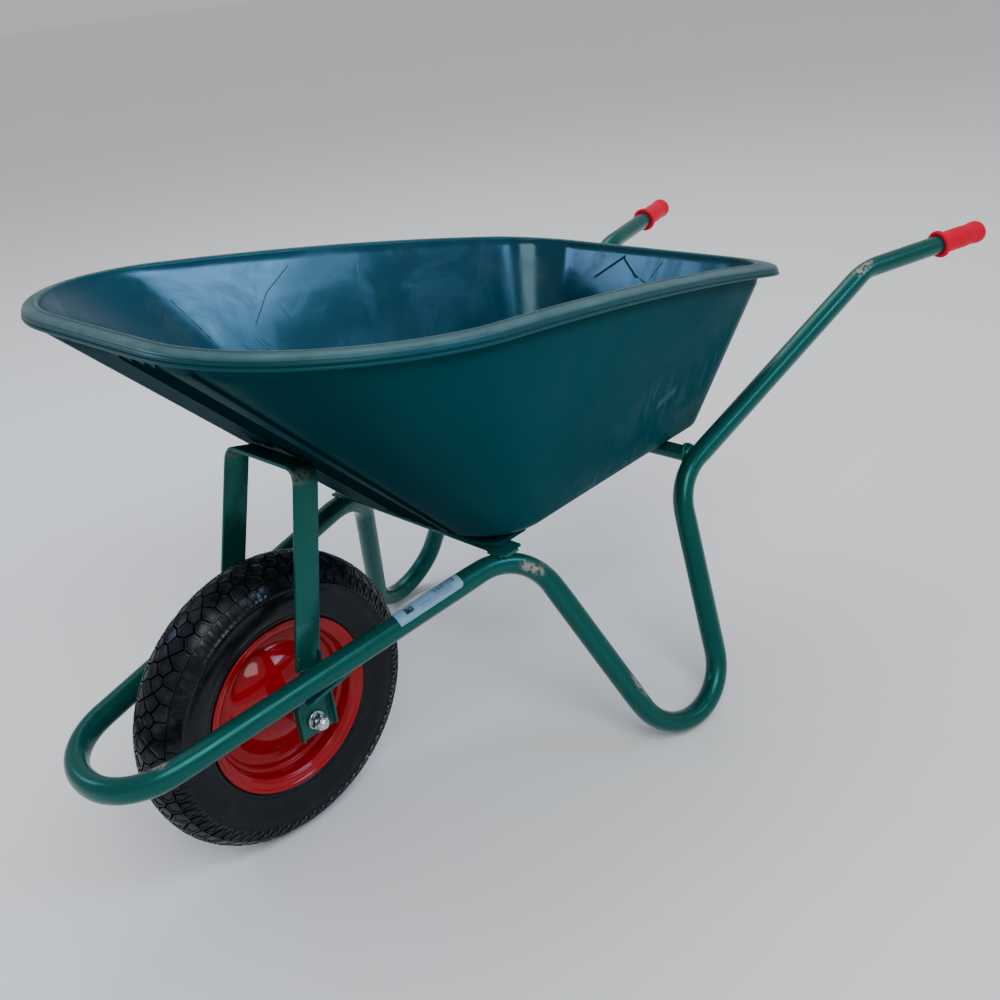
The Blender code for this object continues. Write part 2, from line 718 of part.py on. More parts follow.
def make_axle(root):
    """A plain bolt through both brackets, with spacers, washers, and nuts."""
    at = Vector((0, 0, TYRE_R))
    profile = [
        (0.0, AXLE_HALF), (AXLE_R - AXLE_CHAMFER, AXLE_HALF),
        (AXLE_R, AXLE_HALF - AXLE_CHAMFER), (AXLE_R, -AXLE_HALF + AXLE_CHAMFER),
        (AXLE_R - AXLE_CHAMFER, -AXLE_HALF), (0.0, -AXLE_HALF),
    ]
    turned("axle", profile, "zinc", root, at, (0, 1, 0), 24, closed=False)
    bore = AXLE_R + GAP
    inside = HUB_HALF + 2 * GAP
    outside = BRACKET_Y + BRACKET_T + GAP
    nut_from = outside + AXLE_WASHER_T + GAP
    for side, name in SIDES:
        out = Vector((0, side, 0))
        ring("axle_spacer_" + name, bore, SPACER_R, inside, BRACKET_Y - GAP, "zinc", root,
             at, out, 24)
        ring("axle_washer_" + name, bore, AXLE_WASHER_R, outside, outside + AXLE_WASHER_T,
             "zinc", root, at, out, 24)
        outlines = [circle(AXLE_NUT_R, 6, math.radians(12)), circle(bore, 20)]
        plate("axle_nut_" + name, outlines, AXLE_NUT_T, "zinc", root,
              at + out * (nut_from + AXLE_NUT_T / 2), (side * math.pi / 2, 0, 0))


def make_label(root):
    """A paper label that wraps the upper, outer part of the left rail."""
    a = rail_point(LABEL_START, -1)
    b = rail_point(LABEL_END, -1)
    along = (b - a).normalized()
    out = along.cross(Vector((0, 0, 1))).normalized()
    up = out.cross(along)
    radius = TUBE_R + GAP
    work = bmesh.new()
    rows = []
    steps = 6
    for k in range(steps + 1):
        turn = LABEL_FROM + (LABEL_TO - LABEL_FROM) * k / steps
        spoke = (out * math.cos(turn) + up * math.sin(turn)) * radius
        rows.append([work.verts.new(point + spoke) for point in (a, b)])
    for low, high in zip(rows, rows[1:]):
        work.faces.new((low[0], low[1], high[1], high[0]))
    mesh = bpy.data.meshes.new("rail_label")
    work.to_mesh(mesh)
    work.free()
    label = add("rail_label", mesh, "label_white", root)
    shell = label.modifiers.new("paper", "SOLIDIFY")
    shell.thickness = LABEL_T
    shell.offset = 1


def main():
    nose_x = NOSE.x - TUBE_R
    along = (HANDLE_END - KNEE).normalized()
    grip_x = HANDLE_END.x + 0.0130 * math.sqrt(1 - along.x ** 2)
    root = empty("ROOT", (-(nose_x + grip_x) / 2, 0, 0))
    wheel = empty("WHEEL", (0, 0, TYRE_R), root)
    make_frame_tube(root)
    make_hoop(root)
    make_cross_members(root)
    for side, name in SIDES:
        make_axle_bracket(root, side, name)
        make_grip(root, side, name)
    make_tray(root)
    make_tray_bolts(root)
    make_axle(root)
    make_label(root)
    make_tyre(wheel)
    make_inner_tube(wheel)
    halves = [make_rim_half(wheel, side, name) for side, name in SIDES]
    make_valve(wheel, halves[1])
    make_hub(wheel)
    bpy.context.view_layer.update()


main()
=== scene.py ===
"""Looks of the wheelbarrow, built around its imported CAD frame.

Metres, in the row frame: +X towards the handles, +Y to the pusher's right, +Z up. Shapes
are laid out from the wheel's contact point and then moved by WHEEL_X, as in the CAD.
"""
import math
import random

import bmesh
import bpy
import numpy as np
from mathutils import Matrix, Vector


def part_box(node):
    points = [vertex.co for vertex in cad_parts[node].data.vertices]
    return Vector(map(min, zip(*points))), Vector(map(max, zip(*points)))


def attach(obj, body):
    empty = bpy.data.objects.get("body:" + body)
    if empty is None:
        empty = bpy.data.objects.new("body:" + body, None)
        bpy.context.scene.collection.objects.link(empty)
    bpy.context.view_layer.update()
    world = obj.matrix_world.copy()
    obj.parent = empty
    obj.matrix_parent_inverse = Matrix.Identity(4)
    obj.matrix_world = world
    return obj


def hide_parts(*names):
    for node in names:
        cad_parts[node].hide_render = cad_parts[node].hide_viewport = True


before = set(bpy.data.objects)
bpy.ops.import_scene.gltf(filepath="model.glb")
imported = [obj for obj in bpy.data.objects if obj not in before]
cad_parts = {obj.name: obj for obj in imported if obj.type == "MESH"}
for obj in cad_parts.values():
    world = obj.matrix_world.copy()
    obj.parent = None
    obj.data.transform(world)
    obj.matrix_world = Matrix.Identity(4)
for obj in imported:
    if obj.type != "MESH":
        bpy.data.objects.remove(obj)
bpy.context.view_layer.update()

axle_low, axle_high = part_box("axle")
WHEEL_X = (axle_low.x + axle_high.x) / 2
SIDES = ((-1, "left"), (1, "right"))
FRAME, WHEEL = "frame", "wheel"

# ---- dimensions shared with the CAD ---------------------------------------------------
TUBE_R = 0.016
NOSE = Vector((-0.265, 0.0775, 0.236))
RAIL_TOP = Vector((0.318, 0.1755, 0.3315))
FOOT = Vector((0.490, 0.4235, -0.2215))
LEG_TOP = Vector((0.608, 0.2235, 0.320))
KNEE = Vector((1.091, 0.2745, 0.520))
HANDLE_END = Vector((1.363, 0.3495, 0.526))
BENDS = (0.090, 0.090, 0.081, 0.091, 0.088)      # knee, leg top, foot, rail top, nose
USUAL_BEND = 0.088                               # the radius that counts as a full bend
TYRE_R = 0.200
HUB_R, HUB_HALF, AXLE_R, AXLE_HALF = 0.0175, 0.060, 0.006, 0.110
BRACKET_Y, BRACKET_T = 0.0850, 0.0030
STRIP_W, STRIP_T = 0.036, 0.005
HOOP_FOOT_Y, HOOP_TOP_Y = 0.0865, 0.0745
HOOP_FOOT = Vector((0.004, 0.0, 0.2730))
HOOP_LEAN, HOOP_HEIGHT, HOOP_BEND = math.radians(13.5), 0.2592, 0.017
RIM_OUTLINE = (-0.1195, 0.8795, 0.3896, 0.2640, 0.246, 0.119)
RIM_Z, RIM_SLOPE, RIM_ARCH, RIM_ARCH_MID = 0.7505, -0.160, -0.073, 0.35
LIP_HALF, REAR_LEDGE = 0.0130, 0.022
FLOOR_OUTLINE = (0.2550, 0.7440, 0.1958, 0.1860, 0.0910, 0.0600)
FLOOR_Z, FLOOR_SLOPE, FLOOR_X0 = 0.3480, 0.0120, 0.300
TRAY_T = 0.0040
PAD_X, PAD_LENGTH, PAD_HALF_Y, PAD_T = 0.308, 0.078, 0.1680, 0.0058
BAR_X, BAR_HALF_Y, BAR_W, BAR_T = 0.288, 0.1860, 0.036, 0.005
CROSS_X, CROSS_R, CROSS_HALF_Y = 0.655, 0.0125, 0.2105
BOLT_X, BOLT_Y, BOLT_R = 0.293, 0.100, 0.004
GRIP_LENGTH = 0.108
VALVE_TURN = math.radians(125)
GAP = 0.0003                                   # between pieces that touch
CONTACT = Vector((WHEEL_X, 0, 0))
AXLE = Vector((WHEEL_X, 0, TYRE_R))
OUT = {-1: Vector((0, -1, 0)), 1: Vector((0, 1, 0))}


# ---- materials ------------------------------------------------------------------------
class Look:
    """A Principled material, with short names for the nodes that pattern it."""

    def __init__(self, name, roughness=0.5, metallic=0.0, coat=0.0, ior=1.5, shine=0.5,
                 tint=(1.0, 1.0, 1.0)):
        self.material = bpy.data.materials.new(name)
        self.material.use_nodes = True
        self.tree = self.material.node_tree
        self.shader = self.tree.nodes["Principled BSDF"]
        for socket, value in (
            ("Roughness", roughness), ("Metallic", metallic), ("IOR", ior),
            ("Coat Weight", coat), ("Coat Roughness", 0.06), ("Specular IOR Level", shine),
            ("Specular Tint", tint)
        ):
            self.set(socket, value)
        self.place = self.node("ShaderNodeTexCoord", {}).outputs["Object"]

    def put(self, value, socket):
        """Links a node's output to a socket, or sets the socket's own value."""
        if hasattr(value, "links"):
            self.tree.links.new(value, socket)
        else:
            socket.default_value = (*value, 1.0) if socket.type == "RGBA" else value

    def set(self, socket, value):
        self.put(value, self.shader.inputs[socket])

    def node(self, kind, inputs, **settings):
        """A new node with its settings made and its inputs filled."""
        made = self.tree.nodes.new(kind)
        for key, value in settings.items():
            setattr(made, key, value)
        for key, value in inputs.items():
            self.put(value, made.inputs[key])
        return made

    def stretched(self, scale, turn=(0, 0, 0), at=None):
        return self.node("ShaderNodeMapping", {
            "Vector": at or self.place, "Scale": scale, "Rotation": turn}).outputs["Vector"]

    def noise(self, scale, detail=4.0, at=None, rough=0.55, distortion=0.0):
        return self.node("ShaderNodeTexNoise", {
            "Vector": at or self.place, "Scale": scale, "Detail": detail,
            "Roughness": rough, "Distortion": distortion}).outputs["Fac"]

    def cells(self, scale, feature, at=None):
        return self.node("ShaderNodeTexVoronoi", {
            "Vector": at or self.place, "Scale": scale}, feature=feature).outputs["Distance"]

    def band(self, value, low, high, to_low=0.0, to_high=1.0):
        """Maps low..high of a value to to_low..to_high, clamped."""
        return self.node("ShaderNodeMapRange", {
            "Value": value, "From Min": low, "From Max": high, "To Min": to_low,
            "To Max": to_high}, interpolation_type="SMOOTHSTEP").outputs["Result"]

    def within(self, value, low, high, soft):
        """1 between low and high, and 0 outside them."""
        return self.times(self.band(value, low, low + soft),
                          self.band(value, high, high + soft, 1.0, 0.0))

    def patches(self, scale, low, high):
        return self.band(self.noise(scale, 6, rough=0.7), low, high)

    def dots(self, scale, low, high):
        return self.band(self.cells(scale, "F1"), low, high, 1.0, 0.0)

    def gloss(self, scale, low, high, at=None):
        """A roughness that drifts between two values."""
        return self.band(self.noise(scale, 4, at), 0.3, 0.7, low, high)

    def maths(self, operation, a, b=0.0):
        return self.node("ShaderNodeMath", {0: a, 1: b}, operation=operation).outputs[0]

    def larger(self, a, b):
        return self.maths("MAXIMUM", a, b)

    def times(self, *values):
        result = values[0]
        for value in values[1:]:
            result = self.maths("MULTIPLY", result, value)
        return result

    def vectors(self, operation, a, b):
        second = "Scale" if operation == "SCALE" else 1
        result = "Value" if operation in ("DOT_PRODUCT", "DISTANCE") else "Vector"
        return self.node("ShaderNodeVectorMath", {0: a, second: b},
                         operation=operation).outputs[result]

    def attribute(self, name):
        return self.node("ShaderNodeAttribute", {}, attribute_name=name).outputs["Fac"]

    def mix(self, factor, a, b):
        return self.node("ShaderNodeMix", {"Factor": factor, 6: a, 7: b},
                         data_type="RGBA").outputs[2]

    def colour(self, value):
        self.set("Base Color", value)

    def rough(self, value):
        self.set("Roughness", value)

    def bump(self, *layers):
        """Layers of (height, strength, distance), one on top of another."""
        below = {}
        for height, strength, distance in layers:
            made = self.node("ShaderNodeBump", {
                "Height": height, "Strength": strength, "Distance": distance, **below})
            below = {"Normal": made.outputs["Normal"]}
        self.set("Normal", below["Normal"])

    def strokes(self, marks, keep):
        """Single scored lines, seen along one direction. Each mark is two ends, in metres
        from the wheel's contact point, and a half-width; keep drops one coordinate."""
        keep = Vector(keep)
        seen = self.vectors("MULTIPLY", self.place, keep)
        total = 0.0
        for start, stop, half in marks:
            a, b = (Vector(start) + CONTACT) * keep, (Vector(stop) + CONTACT) * keep
            way = b - a
            reach = self.vectors("SUBTRACT", seen, a)
            along = self.vectors("DOT_PRODUCT", reach, way / way.length_squared)
            part = self.node("ShaderNodeClamp", {"Value": along}).outputs[0]
            gap = self.vectors("DISTANCE", reach, self.vectors("SCALE", way, part))
            total = self.larger(total, self.band(gap, half * 0.4, half, 1.0, 0.0))
        return self.times(total, self.band(self.noise(55, 3), 0.36, 0.50, 0.15, 1.0))

    def beyond(self, axis, low, high):
        """0 to 1 as one coordinate, counted from the contact point, goes low to high."""
        parts = self.node("ShaderNodeSeparateXYZ", {0: self.place})
        shift = WHEEL_X if axis == "X" else 0.0
        return self.band(parts.outputs[axis], low + shift, high + shift)

    def scratches(self, scale, turn, width, cut, seed):
        """Thin broken lines along one direction: cell edges, stretched and masked."""
        at = self.vectors("ADD", self.stretched((scale, scale * 0.06, scale * 0.06), turn),
                          (seed, seed * 2, seed * 3))
        edges = self.cells(1.0, "DISTANCE_TO_EDGE", at)
        return self.times(self.band(edges, 0.0, width, 1.0, 0.0),
                          self.band(self.noise(9, 3), cut, cut + 0.06))


def enamel():
    look = Look("enamel_green", shine=0.52, tint=(0.18, 1.0, 0.92))
    base = look.mix(look.noise(7, 5), (0.0011, 0.042, 0.036), (0.0018, 0.060, 0.050))
    chips = look.times(look.attribute("wear"),
                       look.band(look.noise(150, 6, rough=0.62), 0.44, 0.50))
    primer = look.mix(look.noise(260, 3), (0.20, 0.115, 0.105), (0.46, 0.40, 0.34))
    specks = look.times(look.dots(95, 0.045, 0.075), look.band(look.noise(11, 2), 0.58, 0.66))
    look.colour(look.mix(look.times(specks, 0.55), look.mix(chips, base, primer),
                         (0.30, 0.38, 0.34)))
    look.rough(look.larger(look.gloss(34, 0.19, 0.30), look.times(chips, 0.75)))
    look.bump((look.noise(620, 2), 0.06, 0.0006), (chips, 0.5, -0.0003))
    return look.material


def gouges():
    """Scratches on the far wall: a few long ones, then short ones in two leanings."""
    dice = random.Random(12)
    out = [((0.150, 0, 0.668), (0.184, 0, 0.602), 0.0007),
           ((0.118, 0, 0.655), (0.146, 0, 0.606), 0.0005),
           ((0.262, 0, 0.600), (0.300, 0, 0.640), 0.0006),
           ((0.300, 0, 0.640), (0.352, 0, 0.668), 0.0006)]
    for number in range(16):
        x, z = dice.uniform(0.10, 0.48), dice.uniform(0.52, 0.67)
        turn = math.radians(dice.uniform(-75, -50) if number % 3 else dice.uniform(25, 62))
        length = dice.uniform(0.012, 0.045)
        out.append(((x, 0, z), (x + length * math.cos(turn), 0, z + length * math.sin(turn)),
                    dice.uniform(0.0004, 0.0007)))
    return out


# The knocked mark on the rear wall, seen along X.
CHEVRON = (
    ((0, 0.035, 0.580), (0, 0.092, 0.542), 0.0021),
    ((0, 0.038, 0.578), (0, 0.004, 0.550), 0.0020),
    ((0, 0.004, 0.552), (0, -0.024, 0.540), 0.0010),
    ((0, -0.045, 0.578), (0, -0.026, 0.552), 0.0007),
)


def plastic(name, shine, tint, gloss, dark, light, part="outside"):
    """Moulded plastic, with the marks of one part of the tray: its outside, inside or rim. On
    the outside, the front wall and its rib steps are also darkened with painted shade.
    """
    look = Look(name, ior=1.49, shine=shine, tint=tint)
    base = look.mix(look.noise(3.2, 5, distortion=0.4), dark, light)
    roughness = look.band(look.noise(7, 6, rough=0.65, distortion=0.8), 0.38, 0.64, *gloss)
    few = look.scratches(9, (0.0, 0.8, 0.0), 0.004, 0.56, 7.7)
    layers = [(look.noise(2.6, 2), 0.18, 0.010), (look.noise(13, 5), 0.05, 0.004),
              (look.noise(420, 3), 0.04, 0.0005), (few, 0.2, -0.0004)]
    if part == "rim":
        blotch = look.band(look.noise(24, 5), 0.25, 0.75, 0.25, 0.70)
        base = look.mix(look.times(blotch, look.attribute("band")), base,
                        (0.090, 0.165, 0.168))
        edge = look.times(look.attribute("edge"),
                          look.band(look.noise(90, 4), 0.34, 0.62, 0.35, 1.0))
        base = look.mix(look.times(edge, 0.80), base, (0.135, 0.160, 0.150))
        nicks = look.times(look.dots(46, 0.05, 0.09), look.band(look.noise(15, 2), 0.52, 0.60))
        base = look.mix(look.times(nicks, 0.7), base, (0.22, 0.26, 0.25))
        roughness = look.larger(roughness, look.times(edge, 0.55))
    elif part == "inside":
        scored = look.larger(
            look.times(look.strokes(gouges(), (1, 0, 1)), look.beyond("Y", 0.15, 0.17)),
            look.times(look.strokes(CHEVRON, (0, 1, 1)), look.beyond("X", 0.79, 0.81)))
        pale = look.scratches(16, (0.0, 1.25, 0.3), 0.006, 0.52, 2.9)
        base = look.mix(look.times(pale, 0.35), base, (0.05, 0.10, 0.13))
        dusty = look.times(look.patches(11, 0.52, 0.68), 0.30)
        base = look.mix(dusty, base, (0.035, 0.060, 0.070))
        base = look.mix(look.times(scored, 0.72), base, (0.0006, 0.006, 0.010))
        roughness = look.larger(roughness, look.times(scored, 0.8))
        layers.append((scored, 0.6, -0.0006))
    else:
        up = look.scratches(34, (0.0, 1.05, 0.5), 0.022, 0.42, 1.3)
        across = look.scratches(26, (0.2, 0.35, 0.1), 0.018, 0.45, 4.1)
        haze = look.times(look.patches(20, 0.44, 0.72), 0.50)
        scored = look.times(look.attribute("scuff"), look.larger(look.larger(up, across), haze))
        base = look.mix(look.times(scored, 0.50), base, (0.070, 0.130, 0.150))
        # Painted shade: the front wall's outside is darkened nearly to black by this mask,
        # fading out round its corners; the same mask also makes it rougher.
        nose = look.attribute("nose")
        base = look.mix(look.times(nose, 0.42), base, (0.0003, 0.009, 0.012))
        # Painted shade: the base is darkened nearly to black along each rib step, as the shade
        # in its recess.
        base = look.mix(look.times(look.attribute("groove"), 0.85), base,
                        (0.0002, 0.003, 0.004))
        roughness = look.larger(roughness, look.times(nose, 0.52))
    look.colour(look.mix(look.times(few, 0.13), base, (0.06, 0.12, 0.13)))
    look.rough(roughness)
    look.bump(*layers)
    return look.material


def rubber(name, dust, low, high):
    look = Look(name, ior=1.45, shine=0.27, tint=(0.85, 0.93, 1.0))
    base = look.mix(look.noise(60, 6, rough=0.65), (0.0022, 0.0026, 0.0034),
                    (0.0075, 0.0084, 0.0104))
    look.colour(look.mix(look.times(look.patches(38, 0.48, 0.70), dust), base,
                         (0.060, 0.060, 0.060)))
    look.rough(look.gloss(45, low, high))
    look.bump((look.noise(90, 5), 0.16, 0.0010), (look.noise(800, 2), 0.10, 0.0004))
    return look.material


def rim_red():
    look = Look("rim_red", ior=1.52, coat=0.12, shine=0.24, tint=(1.0, 0.75, 0.80))
    look.set("Coat Roughness", 0.03)
    base = look.mix(look.noise(14, 4), (0.22, 0.0012, 0.0050), (0.39, 0.0026, 0.0085))
    look.colour(look.mix(look.times(look.patches(55, 0.60, 0.74), 0.45), base,
                         (0.050, 0.006, 0.008)))
    look.rough(look.gloss(28, 0.07, 0.14))
    look.bump((look.noise(22, 3), 0.10, 0.0020), (look.noise(500, 2), 0.04, 0.0005))
    return look.material


def vinyl():
    look = Look("grip_vinyl", ior=1.47, shine=0.06, tint=(1.0, 0.5, 0.5))
    look.set("Subsurface Weight", 0.06)
    look.set("Subsurface Scale", 0.004)
    base = look.mix(look.noise(30, 5), (0.62, 0.0020, 0.025), (0.74, 0.0040, 0.038))
    look.colour(look.mix(look.times(look.patches(70, 0.56, 0.74), 0.45), base,
                         (0.42, 0.014, 0.024)))
    look.rough(look.gloss(60, 0.30, 0.48))
    look.bump((look.noise(48, 3), 0.22, 0.0012), (look.noise(700, 2), 0.10, 0.0004))
    return look.material


def metal(name, dark, light, low, high, grain=(1, 1, 1)):
    look = Look(name, metallic=1.0)
    at = look.stretched(grain)
    look.colour(look.mix(look.noise(60, 5, at), dark, light))
    look.rough(look.gloss(130, low, high, at))
    look.bump((look.noise(400, 3, at), 0.10, 0.0003))
    return look.material


def sticker():
    """A worn white-blue label: bars at one end, plain rules beside them, no wording."""
    look = Look("label", roughness=0.35)
    place = look.node("ShaderNodeUVMap", {}, uv_map="label").outputs["UV"]
    parts = look.node("ShaderNodeSeparateXYZ", {0: place})
    along, around = parts.outputs["X"], parts.outputs["Y"]
    bars = look.noise(95, 1, look.stretched((1.0, 0.0, 0.0), at=place))
    ink = look.times(look.band(bars, 0.49, 0.51), look.within(along, 0.60, 0.93, 0.005),
                     look.within(around, 0.50, 0.90, 0.01))
    for level in (0.22, 0.33, 0.42):
        away = look.maths("ABSOLUTE", look.maths("SUBTRACT", around, level))
        ink = look.larger(ink, look.times(look.band(away, 0.012, 0.018, 0.75, 0.0),
                                          look.within(along, 0.34, 0.86, 0.005)))
    block = look.times(look.within(along, 0.14, 0.26, 0.005),
                       look.within(around, 0.34, 0.72, 0.01))
    ink = look.times(look.larger(ink, block), look.patches(150, 0.34, 0.48), 0.95)
    paper = look.mix(look.noise(90, 5), (0.13, 0.26, 0.38), (0.22, 0.38, 0.52))
    look.colour(look.mix(ink, paper, (0.010, 0.012, 0.020)))
    look.bump((look.noise(60, 4), 0.25, 0.0008))
    return look.material


GREEN, RED, VINYL = enamel(), rim_red(), vinyl()
TEAL = plastic("tray_plastic", 0.012, (0.15, 0.85, 1.0), (0.26, 0.38),
               (0.0005, 0.0410, 0.0500), (0.0009, 0.0560, 0.0680))
TEAL_INSIDE = plastic("tray_inside", 0.42, (0.50, 0.85, 1.0), (0.13, 0.31),
                      (0.0009, 0.0270, 0.0440), (0.0018, 0.0400, 0.0620), "inside")
TEAL_RIM = plastic("tray_rim", 0.22, (0.45, 0.90, 1.0), (0.28, 0.40),
                   (0.0022, 0.0370, 0.0450), (0.0040, 0.0520, 0.0610), "rim")
TREAD, WALL = rubber("tread", 0.34, 0.24, 0.42), rubber("sidewall", 0.10, 0.16, 0.30)
PLAIN_RUBBER = rubber("rubber", 0.1, 0.38, 0.60)
ZINC = metal("zinc", (0.46, 0.47, 0.48), (0.72, 0.72, 0.70), 0.20, 0.36)
STEEL = metal("steel", (0.16, 0.16, 0.165), (0.34, 0.34, 0.34), 0.28, 0.48, (1, 12, 1))
LABEL = sticker()

# The record's material slot for each look, and the slots whose pieces turn with the wheel.
SLOTS = {
    GREEN.name: "frame_enamel", RED.name: "rim_enamel", VINYL.name: "grip_vinyl",
    TEAL.name: "tray_plastic", TREAD.name: "tyre", WALL.name: "tyre",
    PLAIN_RUBBER.name: "valve_rubber", ZINC.name: "zinc", STEEL.name: "bearing_steel",
    LABEL.name: "label",
}
TURNING = ("rim_enamel", "tyre", "tube_rubber", "valve_rubber", "bearing_steel")


# ---- mesh helpers ---------------------------------------------------------------------
def piece(name, shape, look, node=None, sharp=None, at=CONTACT, slot=None):
    """A smooth-shaded mesh of (vertices, faces), moved by at, that rides on its look's body
    and stands for a CAD node."""
    verts, faces = shape
    mesh = bpy.data.meshes.new(name)
    mesh.from_pydata([tuple(Vector(v) + at) for v in verts], [], faces)
    tidied(mesh)
    mesh.materials.append(look)
    mesh.shade_smooth()
    if sharp:
        mesh.set_sharp_from_angle(angle=math.radians(sharp))
    made = bpy.data.objects.new(name, mesh)
    bpy.context.scene.collection.objects.link(made)
    slot = slot or SLOTS[look.name]
    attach(made, WHEEL if slot in TURNING else FRAME)
    if node:
        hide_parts(node)
    return made


def mm(*points):
    """Points whose first two numbers are in millimetres, in metres."""
    return [(a / 1000, b / 1000, *rest) for a, b, *rest in points]


def tidied(mesh, merge=None):
    """Turns a mesh's faces outward, after merging the points that meet."""
    work = bmesh.new()
    work.from_mesh(mesh)
    if merge:
        bmesh.ops.remove_doubles(work, verts=work.verts, dist=merge)
    bmesh.ops.recalc_face_normals(work, faces=work.faces)
    work.to_mesh(mesh)
    work.free()


def store(made, name, values):
    """Stores a value for each vertex, which a material reads by name."""
    made.data.attributes.new(name, "FLOAT", "POINT").data.foreach_set("value", values)


def paint(made, name, rule):
    store(made, name, [rule(v.co) for v in made.data.vertices])


def loft(rings, caps=(True, True)):
    """Vertices and faces that join closed rings of the same count."""
    count = len(rings[0])
    verts = [point for ring in rings for point in ring]
    faces = []
    for k in range(len(rings) - 1):
        for j in range(count):
            n = (j + 1) % count
            faces.append((k * count + j, k * count + n, (k + 1) * count + n,
                          (k + 1) * count + j))
    if caps[0]:
        faces.append(tuple(range(count)))
    if caps[1]:
        faces.append(tuple(range(len(verts) - count, len(verts))))
    return verts, faces


def oriented(axis):
    """The turn that takes +Z to an axis."""
    return Vector(axis).to_track_quat("Z", "Y").to_matrix()


def lathe(name, profile, look, node, centre, axis, steps=96, sharp=35, closed=False,
          slot=None):
    """A profile of (radius, height) points turned about an axis through centre."""
    turn, count = oriented(axis), len(profile)
    verts, faces = [], []
    for k in range(steps):
        angle, n = math.tau * k / steps, (k + 1) % steps
        verts += [turn @ Vector((r * math.cos(angle), r * math.sin(angle), h))
                  for r, h in profile]
        for j in range(count if closed else count - 1):
            m = (j + 1) % count
            faces.append((k * count + j, k * count + m, n * count + m, n * count + j))
    made = piece(name, (verts, faces), look, node, sharp, Vector(centre), slot)
    tidied(made.data, 0.000005)
    return made


def rounded(corners, radii, steps):
    """An open run of straights and arcs, as in the CAD."""
    run = [corners[0]]
    for before, corner, after, radius, count in zip(
        corners, corners[1:], corners[2:], radii, steps
    ):
        back = (before - corner).normalized()
        ahead = (after - corner).normalized()
        half = back.angle(ahead) / 2
        centre = corner + (back + ahead).normalized() * (radius / math.sin(half))
        arm = corner + back * (radius / math.tan(half)) - centre
        sweep = math.pi - 2 * half
        for k in range(count + 1):
            turn = sweep * k / count
            run.append(centre + arm * math.cos(turn) - back * (radius * math.sin(turn)))
    run.append(corners[-1])
    return run


def resampled(run, step):
    """The same run with a point about every step."""
    out = [run[0]]
    for a, b in zip(run, run[1:]):
        count = max(1, round((b - a).length / step))
        out += [a.lerp(b, k / count) for k in range(1, count + 1)]
    return out


def tangents(run):
    ends = [run[0]] + list(run) + [run[-1]]
    return [(c - a).normalized() for a, c in zip(ends, ends[2:])]


def tube_rings(run, radius, sides, shape=None):
    """Rings round a run. shape(index, outward direction) scales the radius there."""
    along = tangents(run)
    across = along[0].orthogonal().normalized()
    rings = []
    for k, (point, way) in enumerate(zip(run, along)):
        across = (across - way * across.dot(way)).normalized()
        other = way.cross(across)
        ring = []
        for j in range(sides):
            angle = math.tau * j / sides
            spoke = across * math.cos(angle) + other * math.sin(angle)
            scale = shape(k, spoke) if shape else 1.0
            ring.append(point + spoke * radius * scale)
        rings.append(ring)
    return rings


def bead(name, run, radius, seed):
    """A weld bead: a low tube of overlapping ripples along a run."""
    dice = random.Random(seed)
    fine = resampled(run, 0.0006)
    beat = [0.86 + 0.14 * abs(math.sin(k * 0.95 + dice.uniform(-0.2, 0.2)))
            for k in range(len(fine))]
    last = len(fine) - 1
    ease = [min(1.0, 0.35 + 0.22 * min(k, last - k)) for k in range(len(fine))]
    piece(name, loft(tube_rings(fine, radius, 10, lambda k, spoke: beat[k] * ease[k])), GREEN)


# ---- frame tube -----------------------------------------------------------------------
def side_of(corner, side):
    return Vector((corner.x, side * corner.y, corner.z))


def near_line(co, a, b):
    """Distance from a point to a stretch of line."""
    way = b - a
    part = max(0.0, min(1.0, (co - a).dot(way) / way.length_squared))
    return (co - a - way * part).length


# Where the enamel is chipped or scratched: a stretch of line, its half-width, strength.
WORN = (
    ((0.300, -0.195, 0.313), (0.316, -0.205, 0.298), 0.006, 0.85),
    ((0.326, -0.203, 0.311), (0.344, -0.212, 0.290), 0.004, 0.8),
    ((0.408, -0.300, 0.040), (0.395, -0.290, 0.130), 0.006, 0.8),
    ((0.440, -0.352, -0.006), (0.470, -0.372, -0.022), 0.007, 1.1),
    ((0.470, -0.384, 0.012), (0.505, -0.384, 0.006), 0.008, 1.0),
    ((1.060, -0.279, 0.525), (1.095, -0.286, 0.541), 0.007, 1.0),
    ((-0.232, -0.060, 0.252), (-0.205, -0.085, 0.258), 0.006, 0.9),
    ((0.408, 0.300, 0.060), (0.418, 0.318, 0.000), 0.007, 0.8),
    ((0.300, 0.195, 0.313), (0.316, 0.205, 0.298), 0.006, 0.8),
)


def frame_wear(co):
    local = co - CONTACT
    best = 0.0
    for a, b, half, strength in WORN:
        away = near_line(local, Vector(a), Vector(b))
        best = max(best, strength * max(0.0, 1.0 - max(0.0, away - half * 0.5) / half))
    floor = max(0.0, 1.0 - local.z / 0.006) * 0.9
    return max(best, floor)


# A bent tube's section: wider across its bend, thinner along it, flat on its outer side,
# and rippled on its inner side, each as a share of the radius.
WIDER, THINNER, FLAT, RIPPLE = 0.035, 0.050, 0.055, 0.050
RIPPLE_REACH, RIPPLE_PITCH = 0.020, 0.0085


